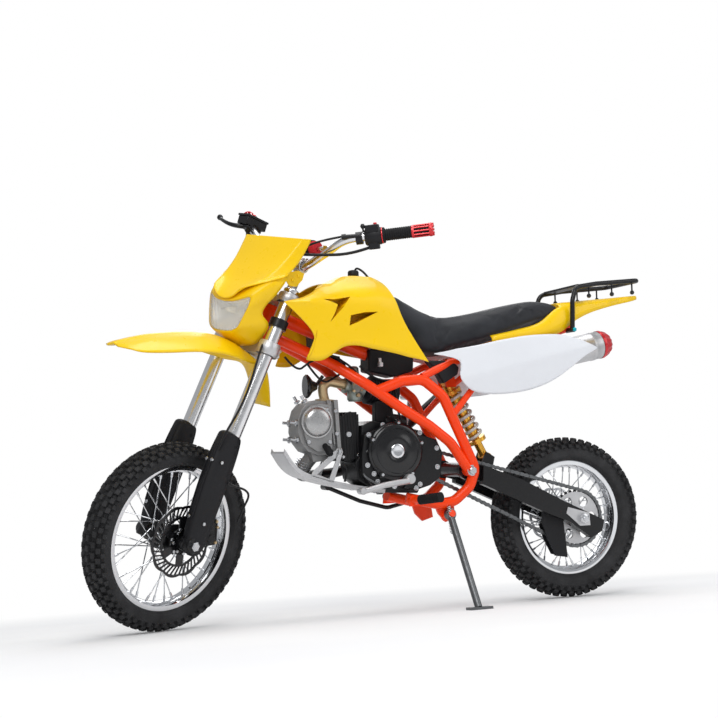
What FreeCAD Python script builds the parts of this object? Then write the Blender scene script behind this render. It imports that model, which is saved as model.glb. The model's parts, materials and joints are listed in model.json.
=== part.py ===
"""Small dirt bike with 14 and 12 inch wheels, leaning on its side stand. Millimetres."""
import FreeCAD
import Part
import os
from math import atan2, cos, hypot, pi, radians, sin, sqrt, tan
from FreeCAD import Placement, Rotation, Vector

# Driving dimensions. The bike is drawn upright, x forward, y to its left, z up,
# with the ground midway between the axles as the origin.
WHEELBASE = 1200.0
FRONT_TYRE_R = 248.0
FRONT_TYRE_HALF = 38.0
FRONT_RIM_R = 190.0
FRONT_RIM_HALF = 24.0
REAR_TYRE_R = 235.0
REAR_TYRE_HALF = 47.0
REAR_RIM_R = 165.0
REAR_RIM_HALF = 29.0
RAKE = 24.0
FORK_OFFSET = 40.0
FORK_SPREAD = 92.0
FORK_LENGTH = 715.0
FORK_TUBE_R = 19.5
HEAD_BORE_R = 18.0
LOWER_CLAMP = 528.0
UPPER_CLAMP = 678.0
CLAMP_EYE_R = 28.0
CLAMP_REACH = hypot(FORK_OFFSET, FORK_SPREAD) + CLAMP_EYE_R
FUEL_CAP_R = 24.0
BAR_R = 11.0
STEER_REST = 27.6
LEAN = 6.0
FRAME_TUBE_R = 14.5
FIT = 0.3
SHEET = 4.0

# Wheels.
FRONT_LUG_DEPTH = 8.0
REAR_LUG_DEPTH = 10.0
LUG_COUNT = 26
RIM_WALL = 3.0
RIM_SEAT = 8.0
SPOKE_R = 1.6
SPOKE_COUNT = 36
HUB_FLANGE_R = 37.0
HUB_CORE_R = 21.0
AXLE_R = 7.5
FRONT_HUB_HALF = 46.0
REAR_HUB_HALF = 52.0
HUB_FLANGE_Y = 28.0
FLANGE_THICK = 5.0
FRONT_DISC_R = 95.0
FRONT_DISC_Y = 57.0
REAR_DISC_R = 85.0
REAR_DISC_Y = -60.0
DISC_THICK = 3.5

# Chain drive.
CHAIN_Y = 62.0
CHAIN_WIDTH = 13.0
REAR_SPROCKET_R = 82.0
DRIVE_SPROCKET_R = 31.0
DRIVE_SPROCKET_X = -105.0
DRIVE_SPROCKET_Z = 425.0
CHAIN_HALF_HEIGHT = 5.5
CHAIN_PITCH = 15.875
CHAIN_WAIST = 2.4

# Engine details.
FIN_COUNT = 5
FIN_THICK = 4.0
ENGINE_BOLTS = [(50, 494), (-100, 496), (-150, 420), (-96, 354), (30, 366), (60, 412)]

ARM_Y0 = 77.0
ARM_Y1 = 102.0
PIVOT_X = -243.0
PIVOT_Z = 387.0
PIVOT_BOLT_R = 8.0
PIVOT_PLATE_Y = 85.0
SHOCK_TOP_X = -229.0
SHOCK_TOP_Z = 636.0
SHOCK_LOW_X = -342.0
SHOCK_LOW_Z = 420.0
SHOCK_EAR_Y = 25.0
SPRING_R = 24.0
SPRING_WIRE_R = 4.5
SPRING_TURNS = 6.5
STAND_PIVOT = Vector(-180, 96, 268)
STAND_REACH = 124.0
STAND_AXIS = Vector(-0.15, 0.97, 0.15).normalize()
STAND_BOLT_R = 6.0
SILENCER_FRONT = Vector(-556, -175, 702)
SILENCER_REAR = Vector(-850, -175, 760)
SILENCER_R = 44.0

FRONT_AXLE = Vector(WHEELBASE / 2, 0, FRONT_TYRE_R)
REAR_AXLE = Vector(-WHEELBASE / 2, 0, REAR_TYRE_R)
STEER_AXIS = Vector(-sin(radians(RAKE)), 0, cos(radians(RAKE)))
AHEAD = Vector(cos(radians(RAKE)), 0, sin(radians(RAKE)))
AXIS_FOOT = FRONT_AXLE - AHEAD * FORK_OFFSET
FORK_FRAME = Placement(AXIS_FOOT, Rotation(Vector(0, 1, 0), -RAKE))
LEFT = Vector(0, 1, 0)
# Points on the steering axis that the bars and mask, and the front mudguard, are drawn about.
BAR_SEAT = AXIS_FOOT + STEER_AXIS * UPPER_CLAMP
FENDER_SEAT = AXIS_FOOT + STEER_AXIS * LOWER_CLAMP
HEAD_LOW = AXIS_FOOT + STEER_AXIS * (LOWER_CLAMP + 38)
HEAD_HIGH = AXIS_FOOT + STEER_AXIS * (UPPER_CLAMP - 2)
LAMP_LEVEL = UPPER_CLAMP - 72

SPINE = [tuple(HEAD_HIGH - STEER_AXIS * 19), (120, 0, 760), (-60, 0, 690), (-110, 0, 648)]

NODES = {}


def keep(name, body, shape):
    """Record one node: its name, the body that carries it and its shape."""
    NODES[name] = (body, shape)


def trim(name, *others):
    """Cut a kept node back to the faces of its neighbours."""
    body, shape = NODES[name]
    shape = shape.cut([NODES[other][1] for other in others])
    NODES[name] = (body, max(shape.Solids, key=lambda solid: solid.Volume))


def box(x0, x1, y0, y1, z0, z1):
    return Part.makeBox(x1 - x0, y1 - y0, z1 - z0, Vector(x0, y0, z0))


def cylinder(start, end, radius):
    along = Vector(*end) - Vector(*start)
    return Part.makeCylinder(radius, along.Length, Vector(*start), along)


def fuse(shapes):
    shapes = list(shapes)
    return shapes[0].fuse(shapes[1:]).removeSplitter() if len(shapes) > 1 else shapes[0]


def mirrored(shape):
    """The same shape on the other side of the bike."""
    return shape.mirror(Vector(0, 0, 0), LEFT)


def both(shape):
    return Part.makeCompound([shape, mirrored(shape)])


def polygon(points):
    points = [Vector(*p) for p in points]
    return Part.Face(Part.makePolygon(points + points[:1]))


def side_prism(points_xz, y0, y1):
    """An outline seen from the side, from y0 to y1."""
    return polygon([(x, y0, z) for x, z in points_xz]).extrude(Vector(0, y1 - y0, 0))


def plan_prism(points_xy, z0, z1):
    return polygon([(x, y, z0) for x, y in points_xy]).extrude(Vector(0, 0, z1 - z0))


def ring(centre, profile):
    """A profile of (radius, y) turned about the axle line through centre."""
    face = polygon([(centre.x + r, y, centre.z) for r, y in profile])
    return face.revolve(centre, LEFT, 360)


def washer(centre, r0, r1, y0, y1):
    outer = cylinder((centre.x, y0, centre.z), (centre.x, y1, centre.z), r1)
    return outer.cut(cylinder((centre.x, y0 - 1, centre.z), (centre.x, y1 + 1, centre.z), r0))


def bent_wire(points, bend):
    """Straight runs joined by tangent arcs of radius bend."""
    points = [Vector(*p) for p in points]
    edges = []
    start = points[0]
    for before, corner, after in zip(points, points[1:], points[2:]):
        back = (before - corner).normalize()
        on = (after - corner).normalize()
        half = back.getAngle(on) / 2
        reach = min(bend / tan(half), 0.45 * (before - corner).Length, 0.45 * (after - corner).Length)
        first = corner + back * reach
        last = corner + on * reach
        radius = reach * tan(half)
        middle = corner + (back + on).normalize() * (radius / sin(half) - radius)
        edges.append(Part.LineSegment(start, first).toShape())
        edges.append(Part.Arc(first, middle, last).toShape())
        start = last
    edges.append(Part.LineSegment(start, points[-1]).toShape())
    return Part.Wire(edges)


def rod(points, radius, bend=40.0):
    """A round bar or tube bent along points."""
    path = bent_wire(points, bend)
    first = Vector(*points[1]) - Vector(*points[0])
    circle = Part.makeCircle(radius, Vector(*points[0]), first)
    pipe = Part.BRepOffsetAPI.MakePipeShell(path)
    pipe.add(Part.Wire(circle))
    pipe.build()
    pipe.makeSolid()
    return pipe.shape()


def loft(sections):
    """Straight-ruled loft through closed polygons with equal numbers of corners."""
    wires = []
    for points in sections:
        points = [Vector(*p) for p in points]
        wires.append(Part.makePolygon(points + points[:1]))
    return Part.makeLoft(wires, True, True)


def tyre_profile(radius, half, rim_r, rim_half, lug_depth, sunk=0.0):
    """Rounded cross-section from bead to tread, at the lug tips or sunk below them to the carcass."""
    bead = rim_half - RIM_WALL
    left = [(rim_r - RIM_SEAT + FIT, bead - 2.2), (rim_r + 1, bead - FIT),
            (rim_r + (radius - rim_r) * 0.45, half * 0.95 - sunk * 0.25),
            (radius - 2.2 * lug_depth, half - sunk * 0.4),
            (radius - 0.9 * lug_depth - sunk * 0.7, half * 0.86 - sunk * 0.5), (radius - sunk, half * 0.42)]
    return left + [(r, -y) for r, y in reversed(left)]


def tyre(centre, radius, half, rim_r, rim_half, lug_depth):
    """Carcass with staggered rows of tread lugs, cut out of the outer profile and fused on."""
    tips = ring(centre, tyre_profile(radius, half, rim_r, rim_half, lug_depth))
    carcass = ring(centre, tyre_profile(radius, half, rim_r, rim_half, lug_depth, lug_depth))
    # Columns: near and far edge as shares of the half width, length along the tread, later by this share.
    rows = [(-0.28, 0.28, 0.46, 0.0), (0.42, 0.76, 0.5, 0.5), (-0.76, -0.42, 0.5, 0.5),
            (0.84, 1.05, 0.5, 0.0), (-1.05, -0.84, 0.5, 0.0)]
    pitch = 2 * pi * radius / LUG_COUNT
    blanks = []
    for near, far, share, later in rows:
        length = pitch * share
        blank = Part.makeBox(length, (far - near) * half, 2.6 * lug_depth,
                             Vector(centre.x - length / 2, near * half, centre.z - radius - 3))
        for number in range(LUG_COUNT):
            turn = Rotation(LEFT, 360 * (number + later) / LUG_COUNT)
            blanks.append(blank.transformed(Placement(Vector(0, 0, 0), turn, centre).toMatrix()))
    lugs = tips.common(Part.makeCompound(blanks))
    return carcass.fuse(lugs.Solids)


FRONT_PROFILE = tyre_profile(FRONT_TYRE_R, FRONT_TYRE_HALF, FRONT_RIM_R, FRONT_RIM_HALF, FRONT_LUG_DEPTH)
REAR_PROFILE = tyre_profile(REAR_TYRE_R, REAR_TYRE_HALF, REAR_RIM_R, REAR_RIM_HALF, REAR_LUG_DEPTH)


def lowest(centre, axle, profile):
    """Lowest height of a tyre of that profile whose axle has the given direction."""
    upright = sqrt(1 - axle.z ** 2)
    return centre.z - max(r * upright + abs(y * axle.z) for r, y in profile)


def standing():
    """Placement that leans the bike and pitches it until both tyres touch the ground."""
    lean = Rotation(Vector(1, 0, 0), -LEAN)
    low, high = -5.0, 5.0
    for _ in range(40):
        middle = (low + high) / 2
        tilt = Rotation(Vector(0, 1, 0), middle).multiply(lean)
        front = lowest(tilt.multVec(TURN.multVec(FRONT_AXLE)), tilt.multVec(TURN.Rotation.multVec(LEFT)),
                       FRONT_PROFILE)
        rear = lowest(tilt.multVec(REAR_AXLE), tilt.multVec(LEFT), REAR_PROFILE)
        if front > rear:
            low = middle
        else:
            high = middle
    return Placement(Vector(0, 0, -rear), tilt)


TURN = Placement(Vector(0, 0, 0), Rotation(STEER_AXIS, STEER_REST), AXIS_FOOT)
STANDING = standing()
STAND_HINGE = STANDING.multVec(STAND_PIVOT)


def rim(centre, rim_r, half):
    """Spoked rim: two flanges round a drop centre, clear of the tyre beads."""
    profile = [(rim_r, -half), (rim_r, -half + RIM_WALL), (rim_r - RIM_SEAT, -half + RIM_WALL + 1.5),
               (rim_r - RIM_SEAT, -half * 0.4), (rim_r - 15, -half * 0.25), (rim_r - 15, half * 0.25),
               (rim_r - RIM_SEAT, half * 0.4), (rim_r - RIM_SEAT, half - RIM_WALL - 1.5), (rim_r, half - RIM_WALL),
               (rim_r, half), (rim_r - 12, half), (rim_r - 19, half * 0.3), (rim_r - 19, -half * 0.3),
               (rim_r - 12, -half)]
    return ring(centre, profile)


def spokes(centre, rim_r):
    """Laced spokes: each leaves a hub flange along its rim and crosses its neighbours."""
    inner = HUB_FLANGE_R
    outer = rim_r - 19
    bars = []
    for number in range(SPOKE_COUNT):
        turn = 2 * pi * number / SPOKE_COUNT
        side = 1 if number % 2 else -1
        lean = 1 if (number // 2) % 2 else -1
        hub_y = side * (HUB_FLANGE_Y + lean * 3.2)
        rim_y = side * 3.0
        hub_turn = turn + lean * radians(62)
        start = (centre.x + inner * cos(hub_turn), hub_y, centre.z + inner * sin(hub_turn))
        end = (centre.x + (outer + 6) * cos(turn), rim_y, centre.z + (outer + 6) * sin(turn))
        bars.append(cylinder(start, end, SPOKE_R))
    space = washer(centre, inner + FIT, outer - FIT, -60, 60)
    return Part.makeCompound([bar.common(space) for bar in bars])


def hub(centre, half):
    """Cast hub with two spoke flanges and a bore for the axle."""
    flange_in = HUB_FLANGE_Y - FLANGE_THICK / 2 - 3
    flange_out = HUB_FLANGE_Y + FLANGE_THICK / 2 + 3
    bore = AXLE_R + FIT
    profile = [(bore, -half), (HUB_CORE_R + 5, -half), (HUB_CORE_R + 5, -flange_out),
               (HUB_FLANGE_R, -flange_out), (HUB_FLANGE_R, -flange_in), (HUB_CORE_R, -flange_in + 6),
               (HUB_CORE_R, flange_in - 6), (HUB_FLANGE_R, flange_in), (HUB_FLANGE_R, flange_out),
               (HUB_CORE_R + 5, flange_out), (HUB_CORE_R + 5, half), (bore, half)]
    return ring(centre, profile)


def brake_disc(centre, radius, y, waves):
    """Petal disc: scallops round the edge and slots through the braking face."""
    disc = washer(centre, HUB_CORE_R + 5 + FIT, radius, y - DISC_THICK / 2, y + DISC_THICK / 2)
    cuts = []
    for number in range(waves):
        turn = 2 * pi * (number + 0.5) / waves
        away = radius + 9
        at = (centre.x + away * cos(turn), centre.z + away * sin(turn))
        cuts.append(cylinder((at[0], y - 5, at[1]), (at[0], y + 5, at[1]), 15))
        turn = 2 * pi * number / waves
        at = (centre.x + radius * 0.56 * cos(turn), centre.z + radius * 0.56 * sin(turn))
        cuts.append(cylinder((at[0], y - 5, at[1]), (at[0], y + 5, at[1]), 12))
    return disc.cut(cuts)


def wheels():
    keep("front_tyre", "front_wheel",
         tyre(FRONT_AXLE, FRONT_TYRE_R, FRONT_TYRE_HALF, FRONT_RIM_R, FRONT_RIM_HALF, FRONT_LUG_DEPTH))
    keep("front_rim", "front_wheel", rim(FRONT_AXLE, FRONT_RIM_R, FRONT_RIM_HALF))
    keep("front_spokes", "front_wheel", spokes(FRONT_AXLE, FRONT_RIM_R))
    keep("front_hub", "front_wheel", hub(FRONT_AXLE, FRONT_DISC_Y + DISC_THICK / 2))
    keep("front_disc", "front_wheel", brake_disc(FRONT_AXLE, FRONT_DISC_R, FRONT_DISC_Y, 10))
    keep("rear_tyre", "rear_wheel",
         tyre(REAR_AXLE, REAR_TYRE_R, REAR_TYRE_HALF, REAR_RIM_R, REAR_RIM_HALF, REAR_LUG_DEPTH))
    keep("rear_rim", "rear_wheel", rim(REAR_AXLE, REAR_RIM_R, REAR_RIM_HALF))
    keep("rear_spokes", "rear_wheel", spokes(REAR_AXLE, REAR_RIM_R))
    keep("rear_hub", "rear_wheel", hub(REAR_AXLE, CHAIN_Y + 3))
    keep("rear_disc", "rear_wheel", brake_disc(REAR_AXLE, REAR_DISC_R, REAR_DISC_Y, 9))
    sprocket = washer(REAR_AXLE, HUB_CORE_R + 5 + FIT, REAR_SPROCKET_R - CHAIN_HALF_HEIGHT - 1.0,
                      CHAIN_Y - 3, CHAIN_Y + 3)
    holes = []
    for number in range(6):
        turn = 2 * pi * number / 6
        at = (REAR_AXLE.x + 52 * cos(turn), REAR_AXLE.z + 52 * sin(turn))
        holes.append(cylinder((at[0], CHAIN_Y - 9, at[1]), (at[0], CHAIN_Y + 9, at[1]), 15))
    keep("rear_sprocket", "rear_wheel", sprocket.cut(holes))


def chain_point(along, grow):
    """Point of the closed chain loop at this length from the start, grown outwards from its pitch line."""
    big = (REAR_AXLE.x, REAR_AXLE.z, REAR_SPROCKET_R)
    small = (DRIVE_SPROCKET_X, DRIVE_SPROCKET_Z, DRIVE_SPROCKET_R)
    run = hypot(small[0] - big[0], small[1] - big[1])
    slope = atan2(small[1] - big[1], small[0] - big[0])
    spread = atan2(sqrt(run ** 2 - (big[2] - small[2]) ** 2), big[2] - small[2])
    straight = sqrt(run ** 2 - (big[2] - small[2]) ** 2)
    round_big = big[2] * (2 * pi - 2 * spread)
    round_small = small[2] * 2 * spread
    along = along % (round_big + round_small + 2 * straight)

    def at(circle, turn):
        reach = circle[2] + grow
        return Vector(circle[0] + reach * cos(turn), 0, circle[1] + reach * sin(turn))

    if along < round_big:
        return at(big, slope + spread + along / big[2])
    along -= round_big
    if along < straight:
        share = along / straight
        return at(big, slope - spread) * (1 - share) + at(small, slope - spread) * share
    along -= straight
    if along < round_small:
        return at(small, slope - spread + along / small[2])
    share = (along - round_small) / straight
    return at(small, slope + spread) * (1 - share) + at(big, slope + spread) * share


def chain_length():
    run = hypot(DRIVE_SPROCKET_X - REAR_AXLE.x, DRIVE_SPROCKET_Z - REAR_AXLE.z)
    lead = REAR_SPROCKET_R - DRIVE_SPROCKET_R
    straight = sqrt(run ** 2 - lead ** 2)
    spread = atan2(straight, lead)
    return REAR_SPROCKET_R * (2 * pi - 2 * spread) + DRIVE_SPROCKET_R * 2 * spread + 2 * straight


def chain_outline(grow, waist):
    """Face inside one edge of the chain: an arc for each link, full at its pin and waisted between pins."""
    length = chain_length()
    links = round(length / (2 * CHAIN_PITCH))
    step = length / links
    edges = [Part.Arc(chain_point((link - 0.5) * step, waist), chain_point(link * step, grow),
                      chain_point((link + 0.5) * step, waist)).toShape() for link in range(links)]
    return Part.Face(Part.Wire(edges))


def chain():
    """Closed loop of the chain, its edges scalloped link by link."""
    outer = chain_outline(CHAIN_HALF_HEIGHT, CHAIN_HALF_HEIGHT - CHAIN_WAIST)
    inner = chain_outline(-CHAIN_HALF_HEIGHT, CHAIN_WAIST - CHAIN_HALF_HEIGHT)
    loop = outer.cut(inner).extrude(Vector(0, CHAIN_WIDTH, 0))
    loop.translate(Vector(0, CHAIN_Y - CHAIN_WIDTH / 2, 0))
    keep("chain", "chassis", loop.Solids[0])


def frame():
    """Twin side tubes, a bent outer tube each side, cradle, seat rails and head tube."""
    r = FRAME_TUBE_R
    head = cylinder(tuple(HEAD_LOW), tuple(HEAD_HIGH), 26)
    cups = [cylinder(tuple(HEAD_LOW), tuple(HEAD_LOW + STEER_AXIS * 12), 29),
            cylinder(tuple(HEAD_HIGH - STEER_AXIS * 12), tuple(HEAD_HIGH), 29)]
    bore = cylinder(tuple(HEAD_LOW - STEER_AXIS * 5), tuple(HEAD_HIGH + STEER_AXIS * 5), HEAD_BORE_R)
    side = [
        rod([tuple(HEAD_LOW + STEER_AXIS * 25 + Vector(-18, 18, 0)), (138, 45, 691), (57, 90, 633), (-38, 103, 566), (-123, 104, 514),
             (-185, 104, 466), (-240, 104, 386)], r, 90),
        rod([(30, 94, 612), (-45, 104, 640), (-108, 104, 642), (-166, 104, 596), (-214, 104, 490),
             (-258, 104, 392), (-242, 100, 342), (-195, 94, 303), (-146, 90, 297),
             (-60, 70, 318)], r, 45),
        rod([(-198, 104, 545), (-262, 92, 612), (-420, 72, 735)], 9, 60),
        rod([(-108, 98, 650), (-200, 82, 690), (-420, 72, 738), (-600, 72, 792)], 11, 80),
    ]
    cross = [
        rod([(-110, -104, 640), (-110, 104, 640)], 11),
        rod([(-222, -80, 694), (-222, 80, 694)], 11),
        rod([(-590, -72, 789), (-590, 72, 789)], 9),
        rod([(-160, -92, 297), (-160, 92, 297)], 12),
        rod([(PIVOT_X, -122, PIVOT_Z), (PIVOT_X, 122, PIVOT_Z)], PIVOT_BOLT_R),
        rod([(PIVOT_X, PIVOT_PLATE_Y + FIT, PIVOT_Z), (PIVOT_X, 116, PIVOT_Z)], 17),
        rod([(PIVOT_X, -PIVOT_PLATE_Y - FIT, PIVOT_Z), (PIVOT_X, -116, PIVOT_Z)], 17),
        rod(SPINE, 19, 120),
    ]
    shock_ears = [side_prism([(-208, 694), (-236, 694), (-244, 624), (-214, 624)], side * SHOCK_EAR_Y - 4,
                             side * SHOCK_EAR_Y + 4) for side in (-1, 1)]
    plates = [side_prism([(-136, 306), (-198, 306), (-200, 262), (-172, 246), (-150, 270)], 76, 84)]
    plates += [side_prism([(-136, 306), (-198, 306), (-206, 250), (-172, 240), (-150, 262)], -84, -76)]
    boss = Part.makeCylinder(16, 18, STAND_HINGE - STAND_AXIS * (25 + FIT), STAND_AXIS)
    bolt = Part.makeCylinder(STAND_BOLT_R, 36, STAND_HINGE - STAND_AXIS * 25, STAND_AXIS)
    head_bolt = Part.makeCylinder(10, 6, STAND_HINGE + STAND_AXIS * (7 + FIT), STAND_AXIS)
    back = STANDING.inverse().toMatrix()
    eye_room = Part.makeCylinder(24, 60, STAND_HINGE - STAND_AXIS * (7 + FIT), STAND_AXIS).transformed(back)
    plates = [plate.cut(eye_room) for plate in plates]
    plates += [part.transformed(back) for part in (boss, bolt, head_bolt)]
    hanger = rod([(-590, -70, 789), (-640, -150, 752)], 6)
    silencer_space = cylinder(tuple(SILENCER_FRONT), tuple(SILENCER_REAR), SILENCER_R + FIT)
    body = fuse([head] + cups + side + [mirrored(tube) for tube in side] + cross + shock_ears + plates + [hanger])
    body = body.cut([bore, silencer_space])
    keep("frame", "chassis", max(body.Solids, key=lambda solid: solid.Volume))


def swingarm():
    eye_r = 26
    outline = [(-286, 400), (-409, 354), (-534, 291), (-672, 227), (-664, 196), (-628, 178), (-560, 226),
               (-470, 262), (-283, 346)]
    arm = side_prism(outline, ARM_Y0, ARM_Y1)
    nose = side_prism([(PIVOT_X, PIVOT_Z + eye_r - 5), (-300, 394), (-300, 350), (PIVOT_X, PIVOT_Z - eye_r + 5)],
                      ARM_Y0 + 1, PIVOT_PLATE_Y - 1)
    eye = cylinder((PIVOT_X, ARM_Y0 - 6, PIVOT_Z), (PIVOT_X, PIVOT_PLATE_Y, PIVOT_Z), eye_r)
    side = fuse([arm, nose, eye])
    pivot_tube = cylinder((PIVOT_X, -ARM_Y0, PIVOT_Z), (PIVOT_X, ARM_Y0, PIVOT_Z), 20)
    cross = box(-330, -296, -ARM_Y0 - 5, ARM_Y0 + 5, 352, 384)
    ears = [side_prism([(-312, 370), (-346, 366), (-360, 420), (-334, 436), (-318, 400)],
                       side * SHOCK_EAR_Y - 4, side * SHOCK_EAR_Y + 4) for side in (-1, 1)]
    web = side_prism([(PIVOT_X, PIVOT_Z + 10), (-320, 384), (-320, 352), (PIVOT_X, PIVOT_Z - 14)], -50, 50)
    bore = cylinder((PIVOT_X, -130, PIVOT_Z), (PIVOT_X, 130, PIVOT_Z), PIVOT_BOLT_R + FIT)
    axle_bore = cylinder((REAR_AXLE.x, -130, REAR_AXLE.z), (REAR_AXLE.x, 130, REAR_AXLE.z), AXLE_R + FIT)
    whole = fuse([side, mirrored(side), pivot_tube, cross, web] + ears)
    keep("swingarm", "chassis", whole.cut([bore, axle_bore]))
    stub = cylinder((REAR_AXLE.x, -112, REAR_AXLE.z), (REAR_AXLE.x, 112, REAR_AXLE.z), AXLE_R)
    nuts = [cylinder((REAR_AXLE.x, y, REAR_AXLE.z), (REAR_AXLE.x, y + 9, REAR_AXLE.z), 13)
            for y in (ARM_Y1 + FIT, -ARM_Y1 - FIT - 9)]
    collars = [cylinder((REAR_AXLE.x, side * (CHAIN_Y + 9), REAR_AXLE.z),
                        (REAR_AXLE.x, side * (ARM_Y0 - FIT), REAR_AXLE.z), 12) for side in (-1, 1)]
    keep("rear_axle", "chassis", fuse([stub] + nuts + collars))


def shock():
    top = Vector(SHOCK_TOP_X, 0, SHOCK_TOP_Z)
    bottom = Vector(SHOCK_LOW_X, 0, SHOCK_LOW_Z)
    line = (bottom - top).normalize()
    eye_half = SHOCK_EAR_Y - 4 - FIT
    body = cylinder(tuple(top + line * 6), tuple(bottom - line * 70), 16)
    shaft = cylinder(tuple(bottom - line * 72), tuple(bottom - line * 6), 12)
    eyes = [cylinder((p.x, -eye_half, p.z), (p.x, eye_half, p.z), 13) for p in (top, bottom)]
    collar_top = cylinder(tuple(top + line * 24), tuple(top + line * 34), 29)
    collar_low = cylinder(tuple(bottom - line * 62), tuple(bottom - line * 50), 29)
    keep("shock_absorber", "chassis", fuse([body, shaft, collar_top, collar_low] + eyes))
    spring_top = top + line * (34 + FIT)
    spring_low = bottom - line * (62 + FIT)
    length = (spring_low - spring_top).Length - 2 * SPRING_WIRE_R
    helix = Part.makeHelix(length / SPRING_TURNS, length, SPRING_R)
    slope = Vector(0, 2 * pi * SPRING_R, length / SPRING_TURNS)
    section = Part.Wire(Part.makeCircle(SPRING_WIRE_R, Vector(SPRING_R, 0, 0), slope))
    coil = Part.Wire(helix.Edges).makePipeShell([section], True, True)
    coil.Placement = Placement(spring_top + line * SPRING_WIRE_R, Rotation(Vector(0, 0, 1), line))
    keep("shock_spring", "chassis", coil)


def round_cover(centre, side, radius, rise, rim):
    """Turned engine cover: chamfered disc with a raised rim and a domed cap in the middle."""
    out = LEFT * side
    disc = Part.makeCylinder(radius, rise * 0.6, centre, out)
    chamfer = Part.makeCone(radius, radius - rise * 0.4, rise * 0.4, centre + out * rise * 0.6, out)
    groove = Part.makeCylinder(radius - rim, rise, centre + out * (rise - 3), out)
    cap = Part.makeCone(17, 13, 7, centre + out * (rise - 3), out)
    return fuse([fuse([disc, chamfer]).cut(groove), cap])


def engine():
    """Flat single-cylinder engine: crankcase with side covers, finned near-level cylinder, and head."""
    outline = [(62, 508), (-60, 512), (-118, 500), (-162, 450), (-158, 390), (-95, 344), (38, 358), (70, 400)]
    case = side_prism(outline, -64, 64)
    left = side_prism([(56, 500), (-60, 505), (-112, 494), (-150, 450), (-148, 392), (-92, 350), (34, 364),
                       (62, 402)], 64, 84)
    right = side_prism([(40, 470), (-60, 498), (-140, 478), (-152, 420), (-100, 352), (30, 364), (58, 400)],
                       -84, -64)
    bosses = [cylinder((x, -80, z), (x, 86, z), 7) for x, z in ENGINE_BOLTS]
    covers = [round_cover(Vector(-25, 84, 449), 1, 72, 20, 9), round_cover(Vector(-62, -84, 430), -1, 66, 24, 9)]
    starter = cylinder((-20, -10, 514), (-92, -10, 524), 26)
    whole = fuse([case, left, right, starter] + bosses + covers)
    slot = box(-176, -60, CHAIN_Y - 12, CHAIN_Y + 12, 330, 520)
    keep("crankcase", "chassis", whole.cut(slot))
    drive = cylinder((DRIVE_SPROCKET_X, CHAIN_Y - 12 + FIT, DRIVE_SPROCKET_Z),
                     (DRIVE_SPROCKET_X, CHAIN_Y + 12 - FIT, DRIVE_SPROCKET_Z), 12)
    teeth = cylinder((DRIVE_SPROCKET_X, CHAIN_Y - 3, DRIVE_SPROCKET_Z),
                     (DRIVE_SPROCKET_X, CHAIN_Y + 3, DRIVE_SPROCKET_Z),
                     DRIVE_SPROCKET_R - CHAIN_HALF_HEIGHT - FIT)
    keep("drive_sprocket", "chassis", drive.fuse(teeth))
    barrel = side_prism([(62.3, 470), (66, 462), (121.7, 462), (126.5, 545), (66, 540), (62.3, 500)], -38, 38)
    fins = []
    for number in range(FIN_COUNT):
        x = 68 + number * (116 - 68) / (FIN_COUNT - 1)
        fins.append(side_prism([(x, 446), (x + FIN_THICK, 446), (x + FIN_THICK + 6, 557), (x + 6, 557)], -52, 52))
    keep("cylinder", "chassis", fuse([barrel] + fins))
    head = side_prism([(120.6, 446), (190, 440), (226, 476), (226, 560), (190, 594), (129.2, 590)], -46, 46)
    lip = side_prism([(120.6, 446), (134, 445), (142.6, 591), (129.2, 590)], -56, 56)
    cheeks = side_prism([(150, 462), (196, 462), (214, 486), (214, 552), (192, 578), (152, 574)], -56, 56)
    cap = round_cover(Vector(183, 56, 521), 1, 38, 10, 6)
    studs = [cylinder((206, y, z), (236, y, z), 6) for y in (-30, 30) for z in (498, 540)]
    plug = cylinder((176, -54, 470), (176, -78, 452), 8)
    keep("cylinder_head", "chassis", fuse([head, lip, cheeks, cap, plug] + studs))
    keep("carburettor", "chassis", fuse([
        rod([(150, 0, 591), (140, 0, 640), (75, 0, 640)], 13, 30),
        cylinder((75, 0, 640), (20, 0, 622), 24),
        box(20, 66, -22, 22, 560, 630)]))
    keep("air_filter", "chassis", cylinder((19.5, 0, 622), (-70, 0, 600), 40))


def exhaust():
    line = (SILENCER_REAR - SILENCER_FRONT).normalize()
    joint = SILENCER_FRONT - line * FIT
    pipe = rod([(184, -20, 442), (194, -46, 405), (150, -120, 388), (20, -152, 402), (-140, -152, 500),
                (-330, -158, 640), (-470, -172, 690), tuple(joint)], 15, 60)
    keep("exhaust_pipe", "chassis", pipe)
    nose = Part.makeCone(20, SILENCER_R, 30, SILENCER_FRONT, line)
    body = cylinder(tuple(SILENCER_FRONT + line * 30), tuple(SILENCER_REAR), SILENCER_R)
    keep("silencer", "chassis", fuse([nose, body]))
    start = SILENCER_REAR + line * FIT
    collar = Part.makeCylinder(SILENCER_R + 1, 12, start, line)
    dome = fuse([Part.makeCone(SILENCER_R - 4, SILENCER_R - 10, 18, start + line * 12, line),
                 Part.makeCone(SILENCER_R - 10, 20, 14, start + line * 30, line)])
    ribs = []
    for number in range(8):
        turn = 2 * pi * number / 8
        side = LEFT * cos(turn) + line.cross(LEFT) * sin(turn)
        foot = start + line * 8 + side * (SILENCER_R - 9)
        ribs.append(cylinder(tuple(foot), tuple(start + line * 40 + side * (SILENCER_R - 20)), 4.5))
    outlet = Part.makeCylinder(13, 20, start + line * 30, line)
    keep("silencer_cap", "chassis", fuse([collar, dome] + ribs).cut(outlet))


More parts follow.
